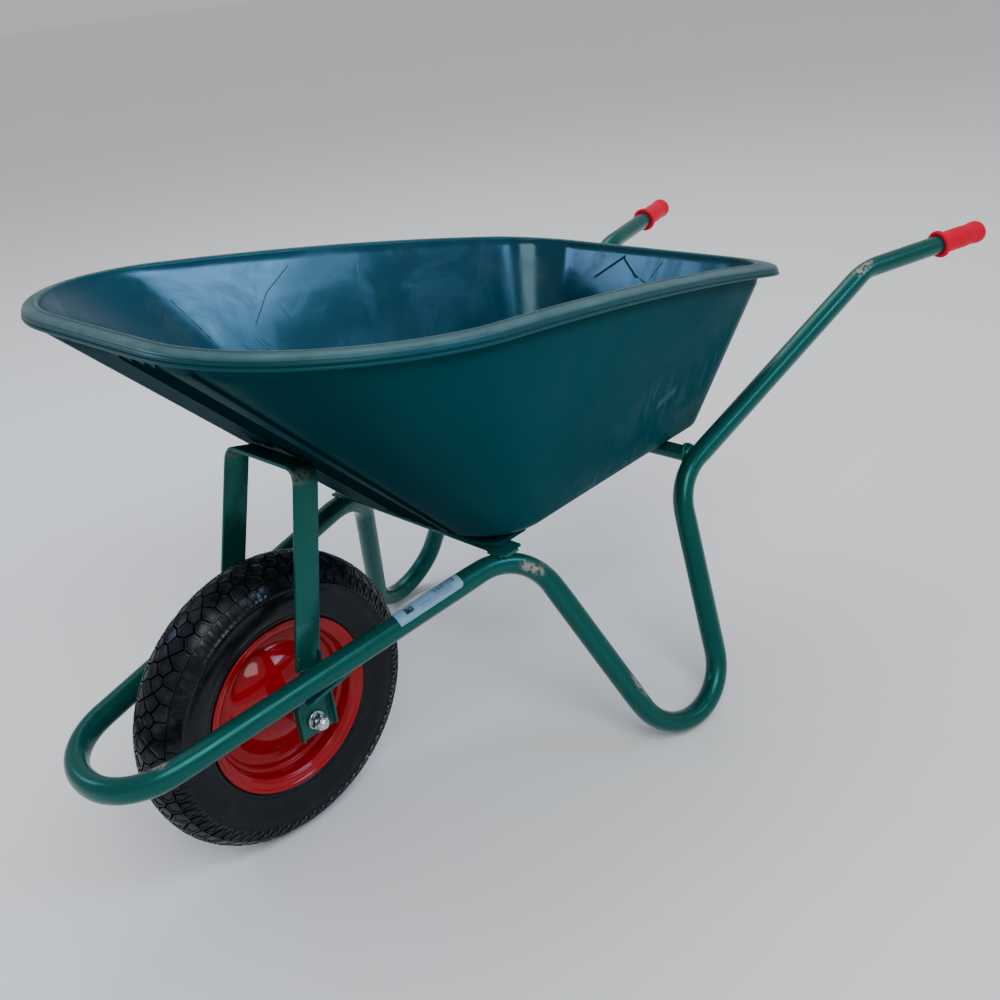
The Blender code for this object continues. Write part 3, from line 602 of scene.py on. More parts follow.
def make_frame_tube():
    half = [HANDLE_END, KNEE, LEG_TOP, FOOT, RAIL_TOP, NOSE]
    tip = (HANDLE_END - KNEE).normalized() * 0.006
    corners = [side_of(c, -1) for c in half] + [side_of(c, 1) for c in reversed(half)]
    corners[0] -= side_of(tip, -1)
    corners[-1] -= tip
    radii = list(BENDS) + list(reversed(BENDS))
    run = resampled(rounded(corners, radii, [22, 22, 36, 22, 26, 26, 22, 36, 22, 22]), 0.004)
    along = tangents(run)
    straight = [Vector((0, 0, 0))] * 3
    turns = list(straight)
    for k in range(3, len(run) - 3):
        length = (run[k + 3] - run[k - 3]).length
        turns.append((along[k + 3] - along[k - 3]) / length * USUAL_BEND)
    turns += straight
    blurred = []
    for k in range(len(turns)):
        window = turns[max(0, k - 4): k + 5]
        blurred.append(sum(window, Vector((0, 0, 0))) / len(window))
    dents = []
    for side in (-1, 1):
        for corner, other, reach, ripples in (
            (FOOT, LEG_TOP, 0.127, 4), (KNEE, HANDLE_END, 0.010, 2), (KNEE, LEG_TOP, 0.022, 1)
        ):
            a, b = side_of(corner, side), side_of(other, side)
            dents.append((a + (b - a).normalized() * reach, ripples))

    def shape(k, spoke):
        bend = min(1.0, blurred[k].length)
        scale = 1.0
        if bend > 0.02:
            inward = blurred[k].normalized()
            lean = spoke.dot(inward)
            outer = max(0.0, -lean)
            scale += bend * (WIDER * (1 - lean * lean) - THINNER * lean * lean)
            scale -= bend * FLAT * outer ** 4
            for centre, ripples in dents:
                away = (run[k] - centre).length
                if away < RIPPLE_REACH:
                    fade = (1 - away / RIPPLE_REACH) ** 0.5 * max(0.0, lean) ** 2
                    wave = math.cos((run[k] - centre).dot(along[k]) * math.tau / RIPPLE_PITCH)
                    scale += fade * RIPPLE * wave * min(1.0, ripples / 3)
        return scale

    made = piece("frame_tube_fine", loft(tube_rings(run, TUBE_R, 36, shape)), GREEN,
                 "frame_tube")
    paint(made, "wear", frame_wear)


# ---- hoop, brackets and cross members -------------------------------------------------
def hoop_turn():
    across = Vector((0, 1, 0))
    up = Vector((math.sin(HOOP_LEAN), 0, math.cos(HOOP_LEAN)))
    return Matrix((across, up, across.cross(up))).transposed()


def rounded_box(half_a, half_b, radius, steps=3):
    """A rounded rectangle as (a, b) pairs."""
    out = []
    for sign_a, sign_b, start in ((1, 1, 0), (-1, 1, 90), (-1, -1, 180), (1, -1, 270)):
        for k in range(steps + 1):
            angle = math.radians(start + 90 * k / steps)
            out.append((sign_a * (half_a - radius) + radius * math.cos(angle),
                        sign_b * (half_b - radius) + radius * math.sin(angle)))
    return out


def make_hoop():
    """The strip's section swept round its bends, thickened a little inside each."""
    foot, top, high = HOOP_FOOT_Y, HOOP_TOP_Y, HOOP_HEIGHT
    corners = [Vector((-foot, 0, 0)), Vector((-top, high, 0)),
               Vector((top, high, 0)), Vector((foot, 0, 0))]
    run = resampled(rounded(corners, [HOOP_BEND] * 2, [14, 14]), 0.006)
    along = tangents(run)
    turn = hoop_turn()
    section = rounded_box(STRIP_T / 2, STRIP_W / 2, 0.0011)
    rings = []
    for k, (point, way) in enumerate(zip(run, along)):
        before, after = along[max(0, k - 1)], along[min(len(run) - 1, k + 1)]
        bend = min(1.0, before.angle(after) * 4)
        normal = Vector((-way.y, way.x, 0))
        ring = []
        for a, b in section:
            swell = 1 + bend * 0.045 * (-a / STRIP_T)
            ring.append(turn @ (point + normal * a + Vector((0, 0, b * swell))) + HOOP_FOOT)
        rings.append(ring)
    made = piece("hoop_strip", loft(rings), GREEN, "hoop", 50)
    places = [Vector((0.045, -0.072, 0.520)), Vector((0.046, 0.075, 0.522)),
              Vector((0.012, -0.086, 0.330))]
    paint(made, "wear", lambda co: 0.6 * max(
        max(0.0, 1 - (co - CONTACT - p).length / 0.014) for p in places))


def rail_point(x, side):
    part = (x - NOSE.x) / (RAIL_TOP.x - NOSE.x)
    return side_of(NOSE.lerp(RAIL_TOP, part), side)


def apply_all(made):
    """Applies every modifier of an object to its mesh."""
    bpy.context.view_layer.update()
    graph = bpy.context.evaluated_depsgraph_get()
    mesh = bpy.data.meshes.new_from_object(made.evaluated_get(graph))
    mesh.name = made.name
    made.modifiers.clear()
    made.data = mesh
    mesh.shade_smooth()
    mesh.set_sharp_from_angle(angle=math.radians(40))


def solid_sheet(made, thickness, edge):
    """Gives an open sheet its thickness and rounded folds, and applies both."""
    shell = made.modifiers.new("sheet", "SOLIDIFY")
    shell.thickness = thickness
    shell.offset = 0
    shell.solidify_mode = "NON_MANIFOLD"
    shell.nonmanifold_thickness_mode = "CONSTRAINTS"
    shell.nonmanifold_merge_threshold = 0.00005
    soften = made.modifiers.new("edge", "BEVEL")
    soften.width = edge
    soften.segments = 3
    soften.limit_method = "ANGLE"
    apply_all(made)


def make_bracket(side, name):
    front, rear = -0.026, 0.026
    low = TYRE_R - 0.021
    under = rail_point(0, side).z - TUBE_R - BRACKET_T / 2 - 0.0008
    rise = (RAIL_TOP.z - NOSE.z) / (RAIL_TOP.x - NOSE.x)
    mid = BRACKET_Y + BRACKET_T / 2
    flange, saddle, fold = mid + 0.0105, mid + 0.046, 0.004
    t_front, t_rear = under + rise * (front - 0.004), under + rise * (rear + 0.012)
    flat = [(front, mid, low), (rear, mid, low), (rear, mid, t_rear - 0.018),
            (rear + 0.012, mid, t_rear), (front - 0.004, mid, t_front),
            (front, mid, t_front - 0.014)]
    verts = flat + [(rear + 0.012, saddle, t_rear), (front - 0.004, saddle, t_front),
                    (front, flange, t_front - 0.018 - fold), (front, flange, low + fold),
                    (rear, flange, low + fold), (rear, flange, t_rear - 0.022 - fold)]
    faces = [(0, 1, 2, 3, 4, 5), (4, 3, 6, 7), (0, 5, 8, 9), (2, 1, 10, 11)]
    made = piece("bracket_" + name, ([(x, side * y, z) for x, y, z in verts], faces), GREEN,
                 "axle_bracket_" + name)
    solid_sheet(made, BRACKET_T, 0.0011)
    centre = Vector((0.0, side * mid, TYRE_R))
    paint(made, "wear", lambda co: 0.8 * max(
        0.0, 1 - abs((co - CONTACT - centre).length - 0.013) / 0.004))
    weld = [Vector((x, side * saddle, under + rise * x + 0.002))
            for x in (front + 0.002, rear + 0.008)]
    bead(f"weld_saddle_{name}", weld, 0.0026, 20 + side)
    turn = hoop_turn()

    def on_strut(across, up, along):
        return turn @ Vector((side * (HOOP_FOOT_Y + across), up, along)) + HOOP_FOOT

    for k, end in enumerate((-1, 1)):
        foot = [on_strut(end * 0.003, 0.0010, along) for along in (-0.016, 0.016)]
        bead(f"weld_hoop_{name}_{k}", foot, 0.0024, 30 + k + side)
    for k, end in enumerate((-1, 1)):
        edge = [on_strut(0.0035, up, 0.017 * end) for up in (0.004, 0.022)]
        bead(f"weld_strut_{name}_{k}", edge, 0.0026, 40 + 2 * k + side)


def floor_frame(x, y, above):
    tilt = math.atan(FLOOR_SLOPE)
    level = FLOOR_Z + FLOOR_SLOPE * (x - FLOOR_X0)
    return Vector((x - above * math.sin(tilt), y, level + above * math.cos(tilt)))


def make_cross_members():
    middle = -2 * GAP - PAD_T - BAR_T / 2
    rings = []
    for k in range(61):
        y = BAR_HALF_Y * (k / 30 - 1)
        droop = 0.004 * max(0.0, (abs(y) - 0.155) / 0.031) ** 2
        width = 1.0 - 0.35 * max(0.0, (abs(y) - 0.176) / 0.010) ** 2
        rings.append([floor_frame(BAR_X + a * width, y, middle + b - droop)
                      for a, b in rounded_box(BAR_W / 2, BAR_T / 2, 0.0012)])
    piece("front_bar", loft(rings), GREEN, "front_cross_member", 45)
    rings = []
    for k in range(49):
        part = k / 24 - 1
        y = PAD_HALF_Y * part
        squeeze = 1 - 0.30 * max(0.0, abs(part) - 0.80) ** 2 / 0.04
        rings.append([floor_frame(PAD_X + a * squeeze, y, -GAP - PAD_T / 2 + b)
                      for a, b in rounded_box(PAD_LENGTH / 2, PAD_T / 2, 0.0020)])
    piece("foot_pad", loft(rings), TEAL, "tray_foot_pad", 45)
    centre = floor_frame(CROSS_X, 0, -GAP - CROSS_R)
    reach = CROSS_HALF_Y + 0.006
    run = resampled([centre - Vector((0, reach, 0)), centre + Vector((0, reach, 0))], 0.006)

    def shape(k, spoke):
        away = reach - abs(run[k].y)
        return 1.0 + 0.10 * max(0.0, 1 - away / 0.010) ** 2

    piece("rear_tube", loft(tube_rings(run, CROSS_R, 36, shape)), GREEN, "rear_cross_tube")
    for side, name in SIDES:
        loop = []
        for k in range(33):
            angle = math.tau * k / 32
            hug = 0.0030 * math.cos(2 * angle)
            loop.append(centre + Vector((0.0145 * math.cos(angle),
                                         side * (CROSS_HALF_Y - 0.001 + hug),
                                         0.0145 * math.sin(angle))))
        bead(f"weld_cross_{name}", loop, 0.0032, 50 + side)
        for k, x in enumerate((BAR_X - BAR_W / 2, BAR_X + BAR_W / 2)):
            line = [floor_frame(x, side * y, -PAD_T - BAR_T - 0.0005)
                    for y in (0.156, 0.166, 0.176, 0.184)]
            bead(f"weld_bar_{name}_{k}", line, 0.0028, 60 + k + side)


# ---- tray -----------------------------------------------------------------------------
def spread(count, marks=(), half=0.0):
    """Fractions from 0 up to 1, with extra ones close on both sides of each mark."""
    out = {round(k / count, 5) for k in range(count)}
    for mark in marks:
        near = [mark - half, mark - half / 3, mark + half / 3, mark + half]
        out = {f for f in out if abs(f - mark) > half * 1.5 or f == 0.0}
        out.update(round(f, 5) for f in near if 0.0 < f < 1.0)
    return sorted(out)


# Steps on the outside of the front wall. A place counts 0 at the wall's middle, 1 where
# its corner starts to turn, and 2 where the corner ends.
RIB_PLACES = (0.24, 0.50, 0.75, 0.95, 1.14)
RIB_STEP = 0.0034
STRAIGHT_MARKS = [0.5 + s * w / 2 for w in RIB_PLACES if w < 1 for s in (-1, 1)]
ARC_MARKS = [w - 1 for w in RIB_PLACES if w > 1]
RUNS = (
    spread(14), spread(18), spread(40), spread(44, [1 - m for m in ARC_MARKS], 0.007),
    spread(46, STRAIGHT_MARKS, 0.009), spread(44, ARC_MARKS, 0.007), spread(40), spread(18),
    spread(14),
)


def rib_place(number, part):
    """The rib coordinate of a point of the ring, from its run and fraction."""
    if number == 3:
        return 2.0 - part
    if number == 4:
        return abs(2 * part - 1)
    if number == 5:
        return 1.0 + part
    return 2.0


PLACES = [rib_place(number, part) for number, run in enumerate(RUNS) for part in run]


def ring_of(outline):
    """A rounded trapezoid's closed ring, whose points match for an outline of any size.
    Straights and arcs take turns, from the middle of the rear round to it again."""
    front, rear, half_front, half_rear, corner_front, corner_rear = outline
    corners = [Vector((rear, half_rear, 0)), Vector((front, half_front, 0)),
               Vector((front, -half_front, 0)), Vector((rear, -half_rear, 0))]
    radii = (corner_rear, corner_front, corner_front, corner_rear)
    middle = Vector((rear, 0, 0))
    arcs = []
    for before, corner, after, radius in zip(
        [middle] + corners, corners, corners[1:] + [middle], radii
    ):
        back, ahead = (before - corner).normalized(), (after - corner).normalized()
        half = back.angle(ahead) / 2
        centre = corner + (back + ahead).normalized() * (radius / math.sin(half))
        arcs.append((centre, corner + back * (radius / math.tan(half)) - centre,
                     back * -radius, math.pi - 2 * half))

    def on_arc(number, part):
        centre, arm, across, sweep = arcs[number]
        return centre + arm * math.cos(sweep * part) + across * math.sin(sweep * part)

    ends = [middle]
    for number in range(4):
        ends += [on_arc(number, 0.0), on_arc(number, 1.0)]
    ends.append(middle)
    out = []
    for number, run in enumerate(RUNS):
        for part in run:
            if number % 2:
                out.append(on_arc(number // 2, part))
            else:
                out.append(ends[number].lerp(ends[number + 1], part))
    return out


def grown(outline, by, inset_rear=0.0):
    front, rear, half_front, half_rear, corner_front, corner_rear = outline
    return (front - by, rear + by - inset_rear, half_front + by, half_rear + by,
            corner_front + by, corner_rear + by)


def rim_ring(offset, drop, inset_rear=0.0):
    ring = ring_of(grown(RIM_OUTLINE, offset, inset_rear))
    for point in ring:
        point.z = (RIM_Z + RIM_SLOPE * point.x
                   + RIM_ARCH * (point.x - RIM_ARCH_MID) ** 2 - drop)
    return ring


def floor_ring(inset, height):
    ring = ring_of(grown(FLOOR_OUTLINE, -inset))
    for point in ring:
        point.z = FLOOR_Z + FLOOR_SLOPE * (point.x - FLOOR_X0) + height
    return ring


def between(low, high, part):
    return [a.lerp(b, part) for a, b in zip(low, high)]


def smooth(low, high, value):
    part = max(0.0, min(1.0, (value - low) / (high - low)))
    return part * part * (3 - 2 * part)


# The rim from the wall's top, over the crown, to the hem, then back under it to the
# outside of the wall: (offset, drop, share of the wide ledge at the rear).
RIM_SECTION = mm(
    (-11.8, 8.5, 1), (-11.3, 5, 1), (-10.4, 2.6, 1), (-9, 1, 0.98), (-7.4, 0.1, 0.95),
    (-6, 0, 0.92), (-4.7, 0.7, 0.86), (-3.6, 1.4, 0.74), (-1, 1.6, 0.5), (2, 2.1, 0.24),
    (5, 3, 0.06), (7.8, 4.4, 0), (9.4, 5.8, 0), (10, 7, 0), (9.6, 7.8, 0), (10.1, 8.6, 0),
    (11.3, 9.4, 0), (11.7, 10.8, 0), (11.4, 12, 0), (10.3, 12.6, 0), (10.3, 13.4, 0),
    (11.7, 13.9, 0), (12.8, 14.8, 0), (13, 16, 0), (12.6, 17.2, 0), (11.6, 17.5, 0))
UNDERSIDE = mm(
    (9.8, 17.2, 0), (9, 12, 0), (7, 8.4, 0), (2, 6.2, 0.3), (-3, 6.4, 0.7), (-5.8, 9, 0.95),
    (-6.4, 15, 1), (-6.6, 22, 1))


WALL_STEPS = 30
FOOT_SHARE = 0.055                     # of the wall's height, where its rounded foot ends


def wall_rings(top):
    """Rings from the floor's middle out and up to the top ring."""
    foot = floor_ring(TRAY_T, TRAY_T)
    knee = between(floor_ring(TRAY_T + 0.009, TRAY_T + 0.002), top, 0.012)
    high = between(foot, top, FOOT_SHARE)
    flat = floor_ring(TRAY_T + 0.018, TRAY_T)
    middle = sum(flat, Vector((0, 0, 0))) / len(flat)
    rings = [[middle.lerp(p, part) for p in flat] for part in (0.15, 0.4, 0.7, 0.9, 1.0)]
    for ring in rings:
        for point in ring:
            point.z = FLOOR_Z + FLOOR_SLOPE * (point.x - FLOOR_X0) + TRAY_T
    for k in range(1, 9):
        t = k / 8
        ring = []
        for a, b, c in zip(flat, knee, high):
            bend = 2 * b - (a + c) / 2
            ring.append(a * (1 - t) ** 2 + bend * (2 * t * (1 - t)) + c * t * t)
        rings.append(ring)
    rings += [between(foot, top, FOOT_SHARE + (1 - FOOT_SHARE) * k / WALL_STEPS)
              for k in range(1, WALL_STEPS + 1)]
    return rings


def outward(rings):
    """Normals of a lofted wall, pointing away from the load."""
    verts, faces = loft(rings, (True, False))
    mesh = bpy.data.meshes.new("guide")
    mesh.from_pydata(verts, [], faces)
    work = bmesh.new()
    work.from_mesh(mesh)
    bmesh.ops.recalc_face_normals(work, faces=work.faces)
    work.normal_update()
    work.faces.ensure_lookup_table()
    sign = -1.0 if work.faces[-1].normal.z > 0 else 1.0     # the floor's middle, last
    normals = [v.normal * sign for v in work.verts]
    work.free()
    bpy.data.meshes.remove(mesh)
    return normals


def ribbed(place):
    """How deep the front wall's outside lies at a rib coordinate: each band slopes back
    out to the wall's surface, up to the next step."""
    start, edge = 0.0, 0.006
    for mark in RIB_PLACES:
        if place < mark + edge:
            deep = RIB_STEP * (1 - (place - start) / (mark - start))
            return deep if place < mark - edge else RIB_STEP * smooth(
                mark - edge, mark + edge, place)
        start = mark
    return RIB_STEP * smooth(start + 0.10, start, place)


def rib_fade(point):
    """0 at the wall's foot and under the rim, 1 between them."""
    share = (point.z - FLOOR_Z) / (RIM_Z - FLOOR_Z)
    return smooth(0.010, 0.045, share) * smooth(0.99, 0.955, share)


# The scuffed patches of the near side: a centre in x and z, and its two half-sizes.
SCUFFS = ((0.60, 0.44, 0.15, 0.09), (0.72, 0.52, 0.08, 0.08), (0.46, 0.38, 0.10, 0.03))


def scuff(co):
    local = co - CONTACT
    if local.y > 0:
        return 0.0
    away = min(math.hypot((local.x - x) / wide, (local.z - z) / tall)
               for x, z, wide, tall in SCUFFS)
    return min(1.0, max(0.0, 1.25 - away))


def make_tray():
    inner = wall_rings(rim_ring(-0.0118, 0.0085, REAR_LEDGE))
    walls = len(inner)
    inner += [rim_ring(o, d, share * REAR_LEDGE) for o, d, share in RIM_SECTION[1:]]
    under = [rim_ring(o, d, share * REAR_LEDGE) for o, d, share in UNDERSIDE]
    base = wall_rings(rim_ring(-LIP_HALF + 0.002, 0.030, REAR_LEDGE))
    count = len(base[0])
    outer = []
    for k, normal in enumerate(outward(base)):
        point = base[k // count][k % count]
        depth = ribbed(PLACES[k % count]) * rib_fade(point)
        outer.append(point + normal * TRAY_T - normal * depth)
    rings = inner + under + [outer[k: k + count] for k in range(0, len(outer), count)][::-1]
    made = piece("tray_shell", loft(rings), TEAL, "tray", 48)
    made.data.materials.append(TEAL_INSIDE)
    made.data.materials.append(TEAL_RIM)
    for face in made.data.polygons:
        ring = max(face.vertices) // count
        if ring < walls + 1:
            face.material_index = 1
        elif ring < len(inner) + 2:
            face.material_index = 2
    total, first = len(made.data.vertices), len(inner) + len(under)
    for name, middle, reach in (("edge", walls + 3, 1.9), ("band", walls + 9.5, 4.5)):
        store(made, name, [max(0.0, 1.0 - abs(k // count - middle) / reach)
                           for k in range(total)])
    groove, nose = [0.0] * total, [0.0] * total
    for k in range(first * count, total):
        place = PLACES[k % count]
        near = min(abs(place - mark) for mark in RIB_PLACES)
        point = rings[k // count][k % count]
        # Painted shade along each rib step of the outside, strongest at the step and fading
        # away from it.
        groove[k] = rib_fade(point) * max(0.0, 1 - near / 0.016)
        # Painted shade mask: 1 over the front wall, fading to 0 partway round its corners.
        nose[k] = smooth(1.75, 1.35, place)
    store(made, "groove", groove)
    store(made, "nose", nose)
    paint(made, "scuff", scuff)


# ---- grips, label and small hardware --------------------------------------------------
def make_grip(side, name):
    end = side_of(HANDLE_END, side)
    along = (end - side_of(KNEE, side)).normalized()
    start = end - along * (GRIP_LENGTH - 0.0005)
    bore, length = TUBE_R + GAP, GRIP_LENGTH - 0.0001
    profile = [(bore, 0.0012), (bore + 0.0010, 0.0002), (0.0212, 0.0004), (0.0232, 0.0018),
               (0.0239, 0.0040), (0.0237, 0.0066), (0.0224, 0.0084), (0.0205, 0.0096),
               (0.0192, 0.0116), (0.0187, 0.0150)]
    for k in range(17):
        h = 0.018 + 0.0044 * k
        swell = 0.0003 * math.sin((h - 0.018) / 0.070 * math.pi) - 0.0006 * smooth(
            0.060, 0.078, h) * smooth(0.090, 0.080, h)
        profile.append((0.0186 + swell + 0.0009 * smooth(0.078, 0.092, h), h))
    profile += [(0.0197, length - 0.0150), (0.0198, length - 0.0110),
                (0.0193, length - 0.0070), (0.0180, length - 0.0036),
                (0.0155, length - 0.0014), (0.0120, length - 0.0004), (0.0060, length),
                (0.0, length), (0.0, length - 0.0055), (bore, length - 0.0055)]
    lathe("grip_sleeve_" + name, profile, VINYL, "grip_" + name, start + CONTACT, along, 64,
          60, closed=True)


# Where the label lies round the rail, counted from outward to up, and half its reach.
LABEL_MIDDLE, LABEL_HALF = math.radians(68), math.radians(46)


def make_label():
    a, b = rail_point(0.112, -1), rail_point(0.212, -1)
    along = (b - a).normalized()
    out = along.cross(Vector((0, 0, 1))).normalized()
    up = out.cross(along)
    length = (b - a).length
    columns, rows, verts, places = 40, 16, [], []
    for i in range(columns + 1):
        u = i / columns
        bulge = 1 - max(0.0, (u - 0.95) / 0.05) ** 2 * 0.35
        for j in range(rows + 1):
            v = j / rows
            turn = LABEL_MIDDLE + LABEL_HALF * (2 * v - 1) * bulge
            ripple = 0.00008 * math.sin(i * 1.7 + j * 0.8)
            spoke = (out * math.cos(turn) + up * math.sin(turn))
            verts.append(a + along * (length * u) + spoke * (TUBE_R + 0.00045 + ripple))
            places.append((u, v))
    faces = []
    for i in range(columns):
        for j in range(rows):
            k = i * (rows + 1) + j
            faces.append((k, k + 1, k + rows + 2, k + rows + 1))
    made = piece("rail_sticker", (verts, faces), LABEL, "rail_label")
    chart = made.data.uv_layers.new(name="label")
    for loop in made.data.loops:
        chart.data[loop.index].uv = places[loop.vertex_index]
    shell = made.modifiers.new("paper", "SOLIDIFY")
    shell.thickness = 0.0002
    shell.offset = 0
    apply_all(made)


def hex_nut(name, node, centre, axis, radius, height, bore, turn):
    """A nut with both faces chamfered and a plain bore."""
    steps = 48
    rings = []
    flat = radius * math.cos(math.pi / 6)
    for h, kind in ((-0.5, "bore"), (-0.5, "chamfer"), (-0.42, "full"), (0.42, "full"),
                    (0.5, "chamfer"), (0.5, "bore")):
        ring = []
        for k in range(steps):
            angle = math.tau * k / steps
            edge = flat / math.cos((angle % (math.pi / 3)) - math.pi / 6)
            if kind == "chamfer":
                edge = min(edge, flat * 0.985)
            if kind == "bore":
                edge = bore
            dip = 0.5 * max(0.0, edge - flat) / radius if kind == "full" else 0.0
            level = h * height - math.copysign(dip * height, h)
            ring.append(Vector((edge * math.cos(angle + turn),
                                edge * math.sin(angle + turn), level)))
        rings.append(ring)
    way = oriented(axis)
    verts, faces = loft([[way @ p for p in ring] for ring in rings], (False, False))
    first = len(verts) - steps
    faces += [(first + k, first + (k + 1) % steps, (k + 1) % steps, k) for k in range(steps)]
    piece(name, (verts, faces), ZINC, node, 28, Vector(centre))


def washer(name, node, inner, outer, low, high, centre, axis, look=ZINC):
    soft = min(0.0004, (high - low) / 4)
    profile = [(inner, low + soft), (inner + soft, low), (outer - soft, low),
               (outer, low + soft), (outer, high - soft), (outer - soft, high),
               (inner + soft, high), (inner, high - soft)]
    return lathe(name, profile, look, node, centre, axis, 64, 40, closed=True)


def threads(radius, start, stop, pitch=0.00125, depth=0.0007):
    """Profile points of thread ridges from start to stop."""
    out, h, way = [], start, 1 if stop > start else -1
    while (stop - h) * way > pitch:
        out += [(radius - depth, h), (radius, h + way * pitch * 0.5)]
        h += way * pitch
    return out + [(radius - depth, h)]


def make_axle():
    profile = [(0.0, AXLE_HALF), (AXLE_R - 0.0014, AXLE_HALF), (AXLE_R - 0.0006, 0.1090)]
    profile += threads(AXLE_R, 0.1086, 0.0895)
    profile += [(r, -h) for r, h in reversed(profile)]
    lathe("axle_rod", profile, ZINC, "axle", AXLE, (0, 1, 0), 48, 25)
    bore, outside = AXLE_R + GAP, BRACKET_Y + BRACKET_T + GAP
    for side, name in SIDES:
        way = OUT[side]
        washer(f"spacer_{name}", f"axle_spacer_{name}", bore, 0.0098, HUB_HALF + 0.0006,
               BRACKET_Y - GAP, AXLE, way)
        made = washer(f"washer_green_{name}", None, bore, 0.0127, outside, outside + 0.0013,
                      AXLE, way, GREEN)
        paint(made, "wear", lambda co: 0.35)
        washer(f"washer_{name}", f"axle_washer_{name}", bore, 0.0120, outside + 0.0013,
               outside + 0.0026, AXLE, way)
        hex_nut(f"axle_nut_fine_{name}", f"axle_nut_{name}", AXLE + way * (outside + 0.0076),
                way, 0.0110, 0.0096, AXLE_R, 0.3)
        hex_nut(f"axle_jam_nut_{name}", None, AXLE + way * (outside + 0.0150), way, 0.0094,
                0.0046, AXLE_R, 0.72)
        lathe(f"bearing_fine_{name}", mm(
            (6.3, 50), (6.3, 60), (8.8, 60), (9.1, 59.4), (12.8, 59.4), (13.1, 60),
            (14.5, 60), (14.68, 59.7), (14.68, 50)), STEEL, "bearing_" + name, AXLE, way, 64,
            30, closed=True)


def make_tray_bolts():
    up = floor_frame(0, 0, 1) - floor_frame(0, 0, 0)
    top, washer_t, nut_t = TRAY_T + GAP, 0.0016, 0.0065
    for side, name in SIDES:
        for place, x, depth in (("front", BOLT_X, PAD_T + GAP + BAR_T),
                                ("rear", CROSS_X, 2 * CROSS_R)):
            tag = f"{place}_{name}"
            y = side * BOLT_Y
            washer("washer_tray_" + tag, "tray_washer_" + tag, BOLT_R + GAP, 0.0125, 0,
                   washer_t, floor_frame(x, y, top) + CONTACT, up)
            seat, nut_top = top + washer_t + GAP, -depth - 2 * GAP
            tip = nut_top - nut_t - 0.004
            dome = [(0.0088 * math.sin(a), seat + 0.0006 + 0.0036 * math.cos(a))
                    for a in [math.pi / 2 * k / 8 for k in range(9)]]
            profile = dome + [(0.0086, seat), (BOLT_R, seat), (BOLT_R, nut_top)]
            profile += threads(BOLT_R, nut_top, tip + 0.001, 0.001, 0.0005)
            profile += [(BOLT_R - 0.001, tip), (0.0, tip)]
            lathe("bolt_" + tag, profile, ZINC, "tray_bolt_" + tag,
                  floor_frame(x, y, 0) + CONTACT, up, 32, 30)
            hex_nut("nut_" + tag, "tray_nut_" + tag,
                    floor_frame(x, y, nut_top - nut_t / 2) + CONTACT, up, 0.0075, nut_t,
                    BOLT_R, 0.4 * side)


# ---- wheel ----------------------------------------------------------------------------
# The tyre's side from the bead out to the tread's edge, as (radius, half-width).
SIDEWALL = mm(
    (104.5, 19), (104.5, 25.5), (109.5, 31.8), (118, 33), (120.6, 35), (122.2, 36.2),
    (123.6, 37.2), (125, 37.4), (125.8, 38.4), (126.8, 38.8), (127.8, 38.4), (128.6, 38.6),
    (134, 40.8), (140, 42.5), (147, 43.7), (154, 44.2), (160, 44), (164.8, 43.3),
    (165.6, 44), (166.8, 44), (167.6, 42.8), (172, 40.8)
)
CARCASS = mm((179, 36.5), (185, 30), (190, 21.5), (193.5, 11.5), (195, 0))
CROWN = mm(
    (200, 0), (199.7, 7.5), (198.4, 14), (196, 20.5), (192, 27), (186.8, 32.8),
    (181, 37.6), (175, 41), (170, 42.8)
)
PITCHES, LUGS = 54, 74
EDGE, GROOVE = 0.0396, 0.0019      # half-width of the blocks' band, gap between them
COLUMNS = (-0.0310, -0.0155, 0.0, 0.0155, 0.0310)
ASTRAY_ROUND, ASTRAY_ACROSS = 0.0046, 0.0034     # how far a block's centre strays
BLOCK_DEPTH, LUG_DEPTH = 0.0048, 0.0042
LUG_LOW, LUG_HIGH = 0.0408, 0.0542               # where a shoulder lug starts and ends


def crown_table():
    """The tread's outer line by its length from the middle: (length, radius, y)."""
    rows, length = [(0.0, CROWN[0][0], 0.0)], 0.0
    for (r0, y0), (r1, y1) in zip(CROWN, CROWN[1:]):
        length += math.hypot(r1 - r0, y1 - y0)
        rows.append((length, r1, y1))
    return np.array(rows)


CROWN_LINE = crown_table()


def tread_point(turn, across, sunk):
    """A point of the tread: an angle round the wheel, a length across, a depth."""
    side = math.copysign(1.0, across)
    where = min(abs(across), CROWN_LINE[-1][0])
    r = np.interp(where, CROWN_LINE[:, 0], CROWN_LINE[:, 1])
    y = np.interp(where, CROWN_LINE[:, 0], CROWN_LINE[:, 2])
    r2 = np.interp(where + 0.002, CROWN_LINE[:, 0], CROWN_LINE[:, 1])
    y2 = np.interp(where + 0.002, CROWN_LINE[:, 0], CROWN_LINE[:, 2])
    dr, dy = r2 - r, y2 - y
    size = math.hypot(dr, dy) or 1.0
    out_r, out_y = (dy / size, -dr / size) if size != 1.0 else (0.3, 0.95)
    r, y = r - out_r * sunk, y - out_y * sunk
    return Vector((r * math.cos(turn), side * y, r * math.sin(turn)))


def block(outline, height, verts, faces):
    """One tread block: walls, a chamfer, a raised border and a shallow well in it."""
    count = len(outline)
    mid_u = sum(u for u, s in outline) / count
    mid_s = sum(s for u, s in outline) / count
    base = len(verts)
    for shrink, sunk in ((1.04, height), (1.0, 0.0011), (0.94, 0.0), (0.74, 0.0),
                         (0.65, 0.0013)):
        for u, s in outline:
            verts.append(tread_point((mid_u + (u - mid_u) * shrink) / TYRE_R,
                                     mid_s + (s - mid_s) * shrink, sunk))
    verts.append(tread_point(mid_u / TYRE_R, mid_s, 0.0009))
    for k in range(4):
        for j in range(count):
            n = (j + 1) % count
            faces.append((base + k * count + j, base + k * count + n,
                          base + (k + 1) * count + n, base + (k + 1) * count + j))
    for j in range(count):
        faces.append((base + 4 * count + j, base + 4 * count + (j + 1) % count,
                      base + 5 * count))


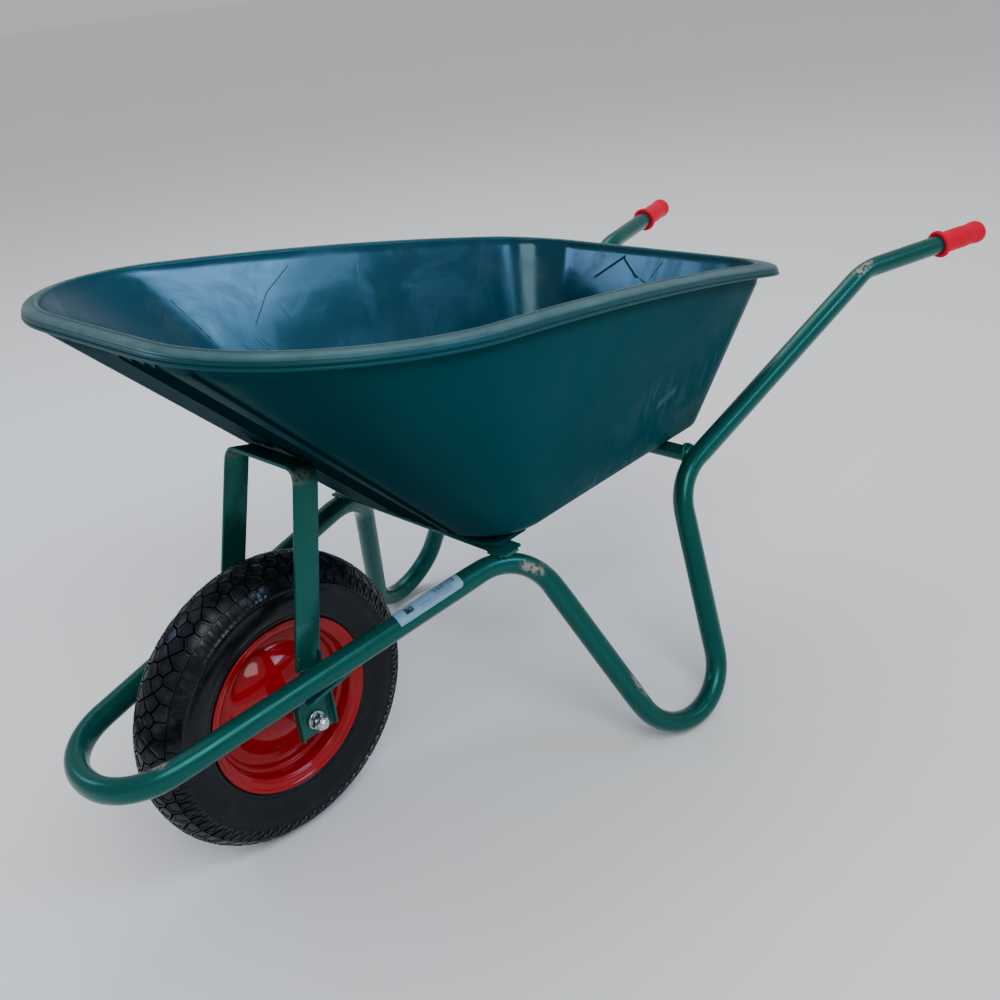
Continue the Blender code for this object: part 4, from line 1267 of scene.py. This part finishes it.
def clipped(outline, point, way):
    """The part of a convex outline that lies behind a line through point."""
    out = []
    for (u0, s0), (u1, s1) in zip(outline, outline[1:] + outline[:1]):
        a = (u0 - point[0]) * way[0] + (s0 - point[1]) * way[1]
        b = (u1 - point[0]) * way[0] + (s1 - point[1]) * way[1]
        if a <= 0:
            out.append((u0, s0))
        if a * b < 0:
            part = a / (a - b)
            out.append((u0 + (u1 - u0) * part, s0 + (s1 - s0) * part))
    return out


def stones(dice):
    """The tread's irregular blocks: cells round scattered centres, a groove apart."""
    lap = math.tau * TYRE_R
    pitch = lap / PITCHES
    centres = [((k + 0.5 * (column % 2)) * pitch + dice.uniform(-ASTRAY_ROUND, ASTRAY_ROUND),
                across + dice.uniform(-ASTRAY_ACROSS, ASTRAY_ACROSS))
               for k in range(PITCHES) for column, across in enumerate(COLUMNS)]
    out = []
    for u, s in centres:
        outline = [(u - 0.02, -EDGE), (u + 0.02, -EDGE), (u + 0.02, EDGE), (u - 0.02, EDGE)]
        for v, t in centres:
            gap_u, gap_s = (v - u + lap / 2) % lap - lap / 2, t - s
            size = math.hypot(gap_u, gap_s)
            if 0 < size < 0.045:
                way, keep = (gap_u / size, gap_s / size), (size - GROOVE) / 2
                outline = clipped(outline, (u + way[0] * keep, s + way[1] * keep), way)
        out.append(outline)
    return out


def make_tread():
    dice = random.Random(7)
    verts, faces = [], []
    for outline in stones(dice):
        block(outline, BLOCK_DEPTH, verts, faces)
    pitch = math.tau * TYRE_R / LUGS
    for k in range(LUGS):
        u = k * pitch
        for side in (-1, 1):
            wide = pitch * 0.37 + dice.uniform(-0.0005, 0.0005)
            skew = 0.0012 * side
            outline = [(u - wide + skew, LUG_LOW + dice.uniform(0, 0.0015)),
                       (u + wide * 0.2, LUG_LOW - 0.0006),
                       (u + wide + skew, LUG_LOW + dice.uniform(0, 0.0015)),
                       (u + wide, LUG_HIGH - 0.004), (u + wide * 0.6, LUG_HIGH),
                       (u - wide * 0.6, LUG_HIGH), (u - wide, LUG_HIGH - 0.004)]
            block([(v, side * s) for v, s in outline], LUG_DEPTH, verts, faces)
    piece("tread_blocks", (verts, faces), TREAD, None, 32, AXLE)


def make_tyre():
    side = SIDEWALL + CARCASS
    outer = side + [(r, -y) for r, y in reversed(side[:-1])]
    half = mm((106, -15), (135, -33.5), (158, -38), (175, -32), (186, -18))
    inner = half + mm((188.5, 0)) + [(r, -y) for r, y in reversed(half)]
    lathe("tyre_carcass", outer + inner, WALL, "tyre", AXLE, (0, 1, 0), 180, 50, closed=True)
    verts, faces = [], []
    for mirror in (-1, 1):
        for k in range(LUGS * 2):
            turn = math.tau * (k + 0.5) / (LUGS * 2)
            wide, reach = (0.0011, 0.0082) if k % 2 else (0.0019, 0.0048)
            base = len(verts)
            for r, y, w in ((0.1716, 0.0407, wide), (0.1716 - reach, 0.0430, wide * 0.6)):
                for s in (-1, 1):
                    for lift in (-0.0006, 0.0011):
                        a = turn + s * w / 0.170
                        verts.append(Vector((r * math.cos(a), mirror * (y + lift),
                                             r * math.sin(a))))
            faces += [tuple(base + corner for corner in face) for face in (
                (1, 3, 7, 5), (0, 1, 5, 4), (2, 3, 7, 6), (4, 5, 7, 6), (0, 1, 3, 2),
                (0, 2, 6, 4))]
    make_tread()
    piece("shoulder_ribs", (verts, faces), WALL, None, 30, AXLE)
    half = mm((106.2, 1.5), (111, 15), (130, 27.5), (156, 35.5), (172, 31.5), (183.5, 16))
    loop = half + mm((185, 0)) + [(r, -y) for r, y in reversed(half)]
    lathe("inner_tube_fine", loop, PLAIN_RUBBER, "inner_tube", AXLE, (0, 1, 0), 64,
          closed=True, slot="tube_rubber")


def eased(points, passes=2):
    """Rounds a profile's corners by cutting each one twice."""
    for _ in range(passes):
        out = [points[0]]
        for (r0, h0), (r1, h1) in zip(points, points[1:]):
            out += [(r0 * 0.78 + r1 * 0.22, h0 * 0.78 + h1 * 0.22),
                    (r0 * 0.22 + r1 * 0.78, h0 * 0.22 + h1 * 0.78)]
        points = out + [points[-1]]
    return points


def make_rim(side, name):
    """One pressed half: rolled flange, bead seat, stepped barrel and domed centre."""
    face = eased(mm(
        (119, 35), (119.6, 36.6), (118.4, 37.4), (116, 36.8), (113.6, 34.6), (111.2, 33.8),
        (108.6, 33), (106.2, 31.2), (103.2, 29), (102, 26.2), (101.3, 20), (101, 16),
        (100, 13.8), (96.8, 12.6), (95, 10.8), (94.4, 6.2), (93.2, 3.6), (90, 2.4),
        (85, 2.2), (80, 2.2), (77, 3.2), (74, 5.2), (66, 12.8), (57, 19.6), (48, 24.5),
        (40, 27.8), (33, 30), (27, 31.2), (21, 32)) + [(HUB_R + 0.0002, 0.0326)])
    back = [(HUB_R + 0.0002, 0.0302)] + mm(
        (32.2, 28), (47, 22.6), (72.8, 3.3), (79, 0.2), (91.2, 0.2), (96.2, 4.8),
        (98.2, 11.2), (103.2, 15), (103.6, 26.2), (104.6, 29.8), (108, 32.8), (116, 34.8),
        (118.4, 34.3))
    lathe("rim_fine_" + name, face + back, RED, "rim_half_" + name, AXLE, OUT[side], 144, 50,
          closed=True)
    seat = HUB_R + 0.0001
    fillet = [(seat, 0.0320)] + mm((21.5, 32.2), (20.6, 34), (18.8, 35.6)) + [(seat, 0.0362)]
    lathe("hub_weld_" + name, eased(fillet), RED, None, AXLE, OUT[side], 72, 60, closed=True)


def make_hub():
    bore, soft = HUB_R - 0.0025, 0.0004
    half = [(HUB_R, HUB_HALF - 0.0006), (HUB_R - 0.0006, HUB_HALF), (bore + soft, HUB_HALF),
            (bore, HUB_HALF - soft)]
    profile = [(r, -h) for r, h in reversed(half)] + half
    lathe("hub_fine", profile, RED, "hub_tube", AXLE, (0, 1, 0), 72, closed=True)


def make_valve():
    away = Vector((math.cos(VALVE_TURN), 0, math.sin(VALVE_TURN)))
    lean = (Vector((0, 0.42, 0)) - away).normalized()
    root = away * 0.1055 + Vector((0, 0.0120, 0)) + AXLE
    profile = mm((0, 1), (5.2, 1), (5.6, 4), (5.8, 5.2), (4.4, 6.6), (4, 10), (3.7, 23.5),
                 (2.9, 25.2))
    profile += threads(0.0028, 0.0255, 0.0355, 0.0008, 0.0003) + [(0.0, 0.0360)]
    lathe("valve_stem_fine", profile, PLAIN_RUBBER, "valve_stem", root, lean, 40, 30)
    steps, rings, turn = 48, [], oriented(lean)
    for r, h in mm((3.1, 27.5), (4, 27.5), (4.3, 28.2), (4.3, 36.6), (3.7, 38.2), (2, 39),
                   (0.4, 39.1)):
        knurled = 0.028 < h < 0.037
        radii = [r - 0.00018 * (k % 2) if knurled else r for k in range(steps)]
        rings.append([turn @ Vector((radius * math.cos(math.tau * k / steps),
                                     radius * math.sin(math.tau * k / steps), h))
                      for k, radius in enumerate(radii)])
    piece("valve_cap_fine", loft(rings, (False, True)), PLAIN_RUBBER, "valve_cap", 30, root)


# ---- studio ---------------------------------------------------------------------------
def light(name, at, towards, size, power, colour, spread=180):
    data = bpy.data.lights.new(name, "AREA")
    data.shape = "RECTANGLE"
    data.size, data.size_y = size
    data.energy = power
    data.color = colour
    data.spread = math.radians(spread)
    made = bpy.data.objects.new(name, data)
    made.location = at
    made.rotation_euler = (Vector(towards) - Vector(at)).to_track_quat("-Z", "Y").to_euler()
    bpy.context.scene.collection.objects.link(made)


def make_studio():
    floor = bpy.data.meshes.new("floor")
    reach = 70.0                                     # so that its edge lies in the distance
    floor.from_pydata([(-reach, -reach, 0), (reach, -reach, 0), (reach, reach, 0),
                       (-reach, reach, 0)], [], [(0, 1, 2, 3)])
    look = Look("floor", roughness=0.9, shine=0.0)
    look.colour(look.mix(look.noise(2, 3), (0.92, 0.92, 0.92), (0.95, 0.95, 0.95)))
    floor.materials.append(look.material)
    made = bpy.data.objects.new("floor", floor)
    bpy.context.scene.collection.objects.link(made)
    world = bpy.data.worlds.new("studio")
    world.use_nodes = True
    sky = world.node_tree.nodes["Background"]
    sky.inputs["Color"].default_value = (0.93, 0.96, 1.0, 1.0)
    sky.inputs["Strength"].default_value = 0.54
    bpy.context.scene.world = world
    light("key", (-1.6, -2.6, 3.4), (0, 0, 0.4), (2.0, 2.0), 80, (1.0, 0.99, 0.97))
    light("window", (1.05, -2.15, 2.20), (-0.30, 0.40, 1.28), (1.7, 0.90), 11.5,
          (0.42, 0.64, 1.0), 60)
    light("doorway", (-1.75, 1.85, 1.90), (0.3, 0.0, 0.56), (0.6, 0.5), 11, (0.40, 0.60, 1.0))
    light("fill", (1.9, 1.6, 4.2), (0, 0, 0.4), (2.6, 2.6), 40, (1.0, 1.0, 1.0))
    light("top", (0.5, 0.9, 4.2), (0, 0, 0.4), (3.0, 3.0), 30, (1.0, 1.0, 1.0))


def make_camera():
    """The viewpoint, as a place and three turns, with the horizon rolled a little."""
    place = Vector((-0.6534, -1.1934, 1.0828)) + CONTACT
    yaw, pitch, roll = (math.radians(a) for a in (43.416, -20.941, -7.106))
    ahead = Vector((math.sin(yaw) * math.cos(pitch), math.cos(yaw) * math.cos(pitch),
                    math.sin(pitch)))
    right = ahead.cross(Vector((0, 0, 1))).normalized()
    up = right.cross(ahead)
    level = right * math.cos(roll) + up * math.sin(roll)
    upright = up * math.cos(roll) - right * math.sin(roll)
    data = bpy.data.cameras.new("camera")
    data.sensor_width = 36
    data.lens = 41.69
    data.shift_y = -0.1
    data.clip_end = 300
    made = bpy.data.objects.new("camera", data)
    turn = Matrix((level, upright, -ahead)).transposed().to_4x4()
    turn.translation = place
    made.matrix_world = turn
    bpy.context.scene.collection.objects.link(made)
    bpy.context.scene.camera = made


make_camera()
make_studio()
make_frame_tube()
make_hoop()
make_cross_members()
for number, word in SIDES:
    make_bracket(number, word)
    make_grip(number, word)
    make_rim(number, word)
make_tray()
make_label()
make_axle()
make_tray_bolts()
make_tyre()
make_hub()
make_valve()
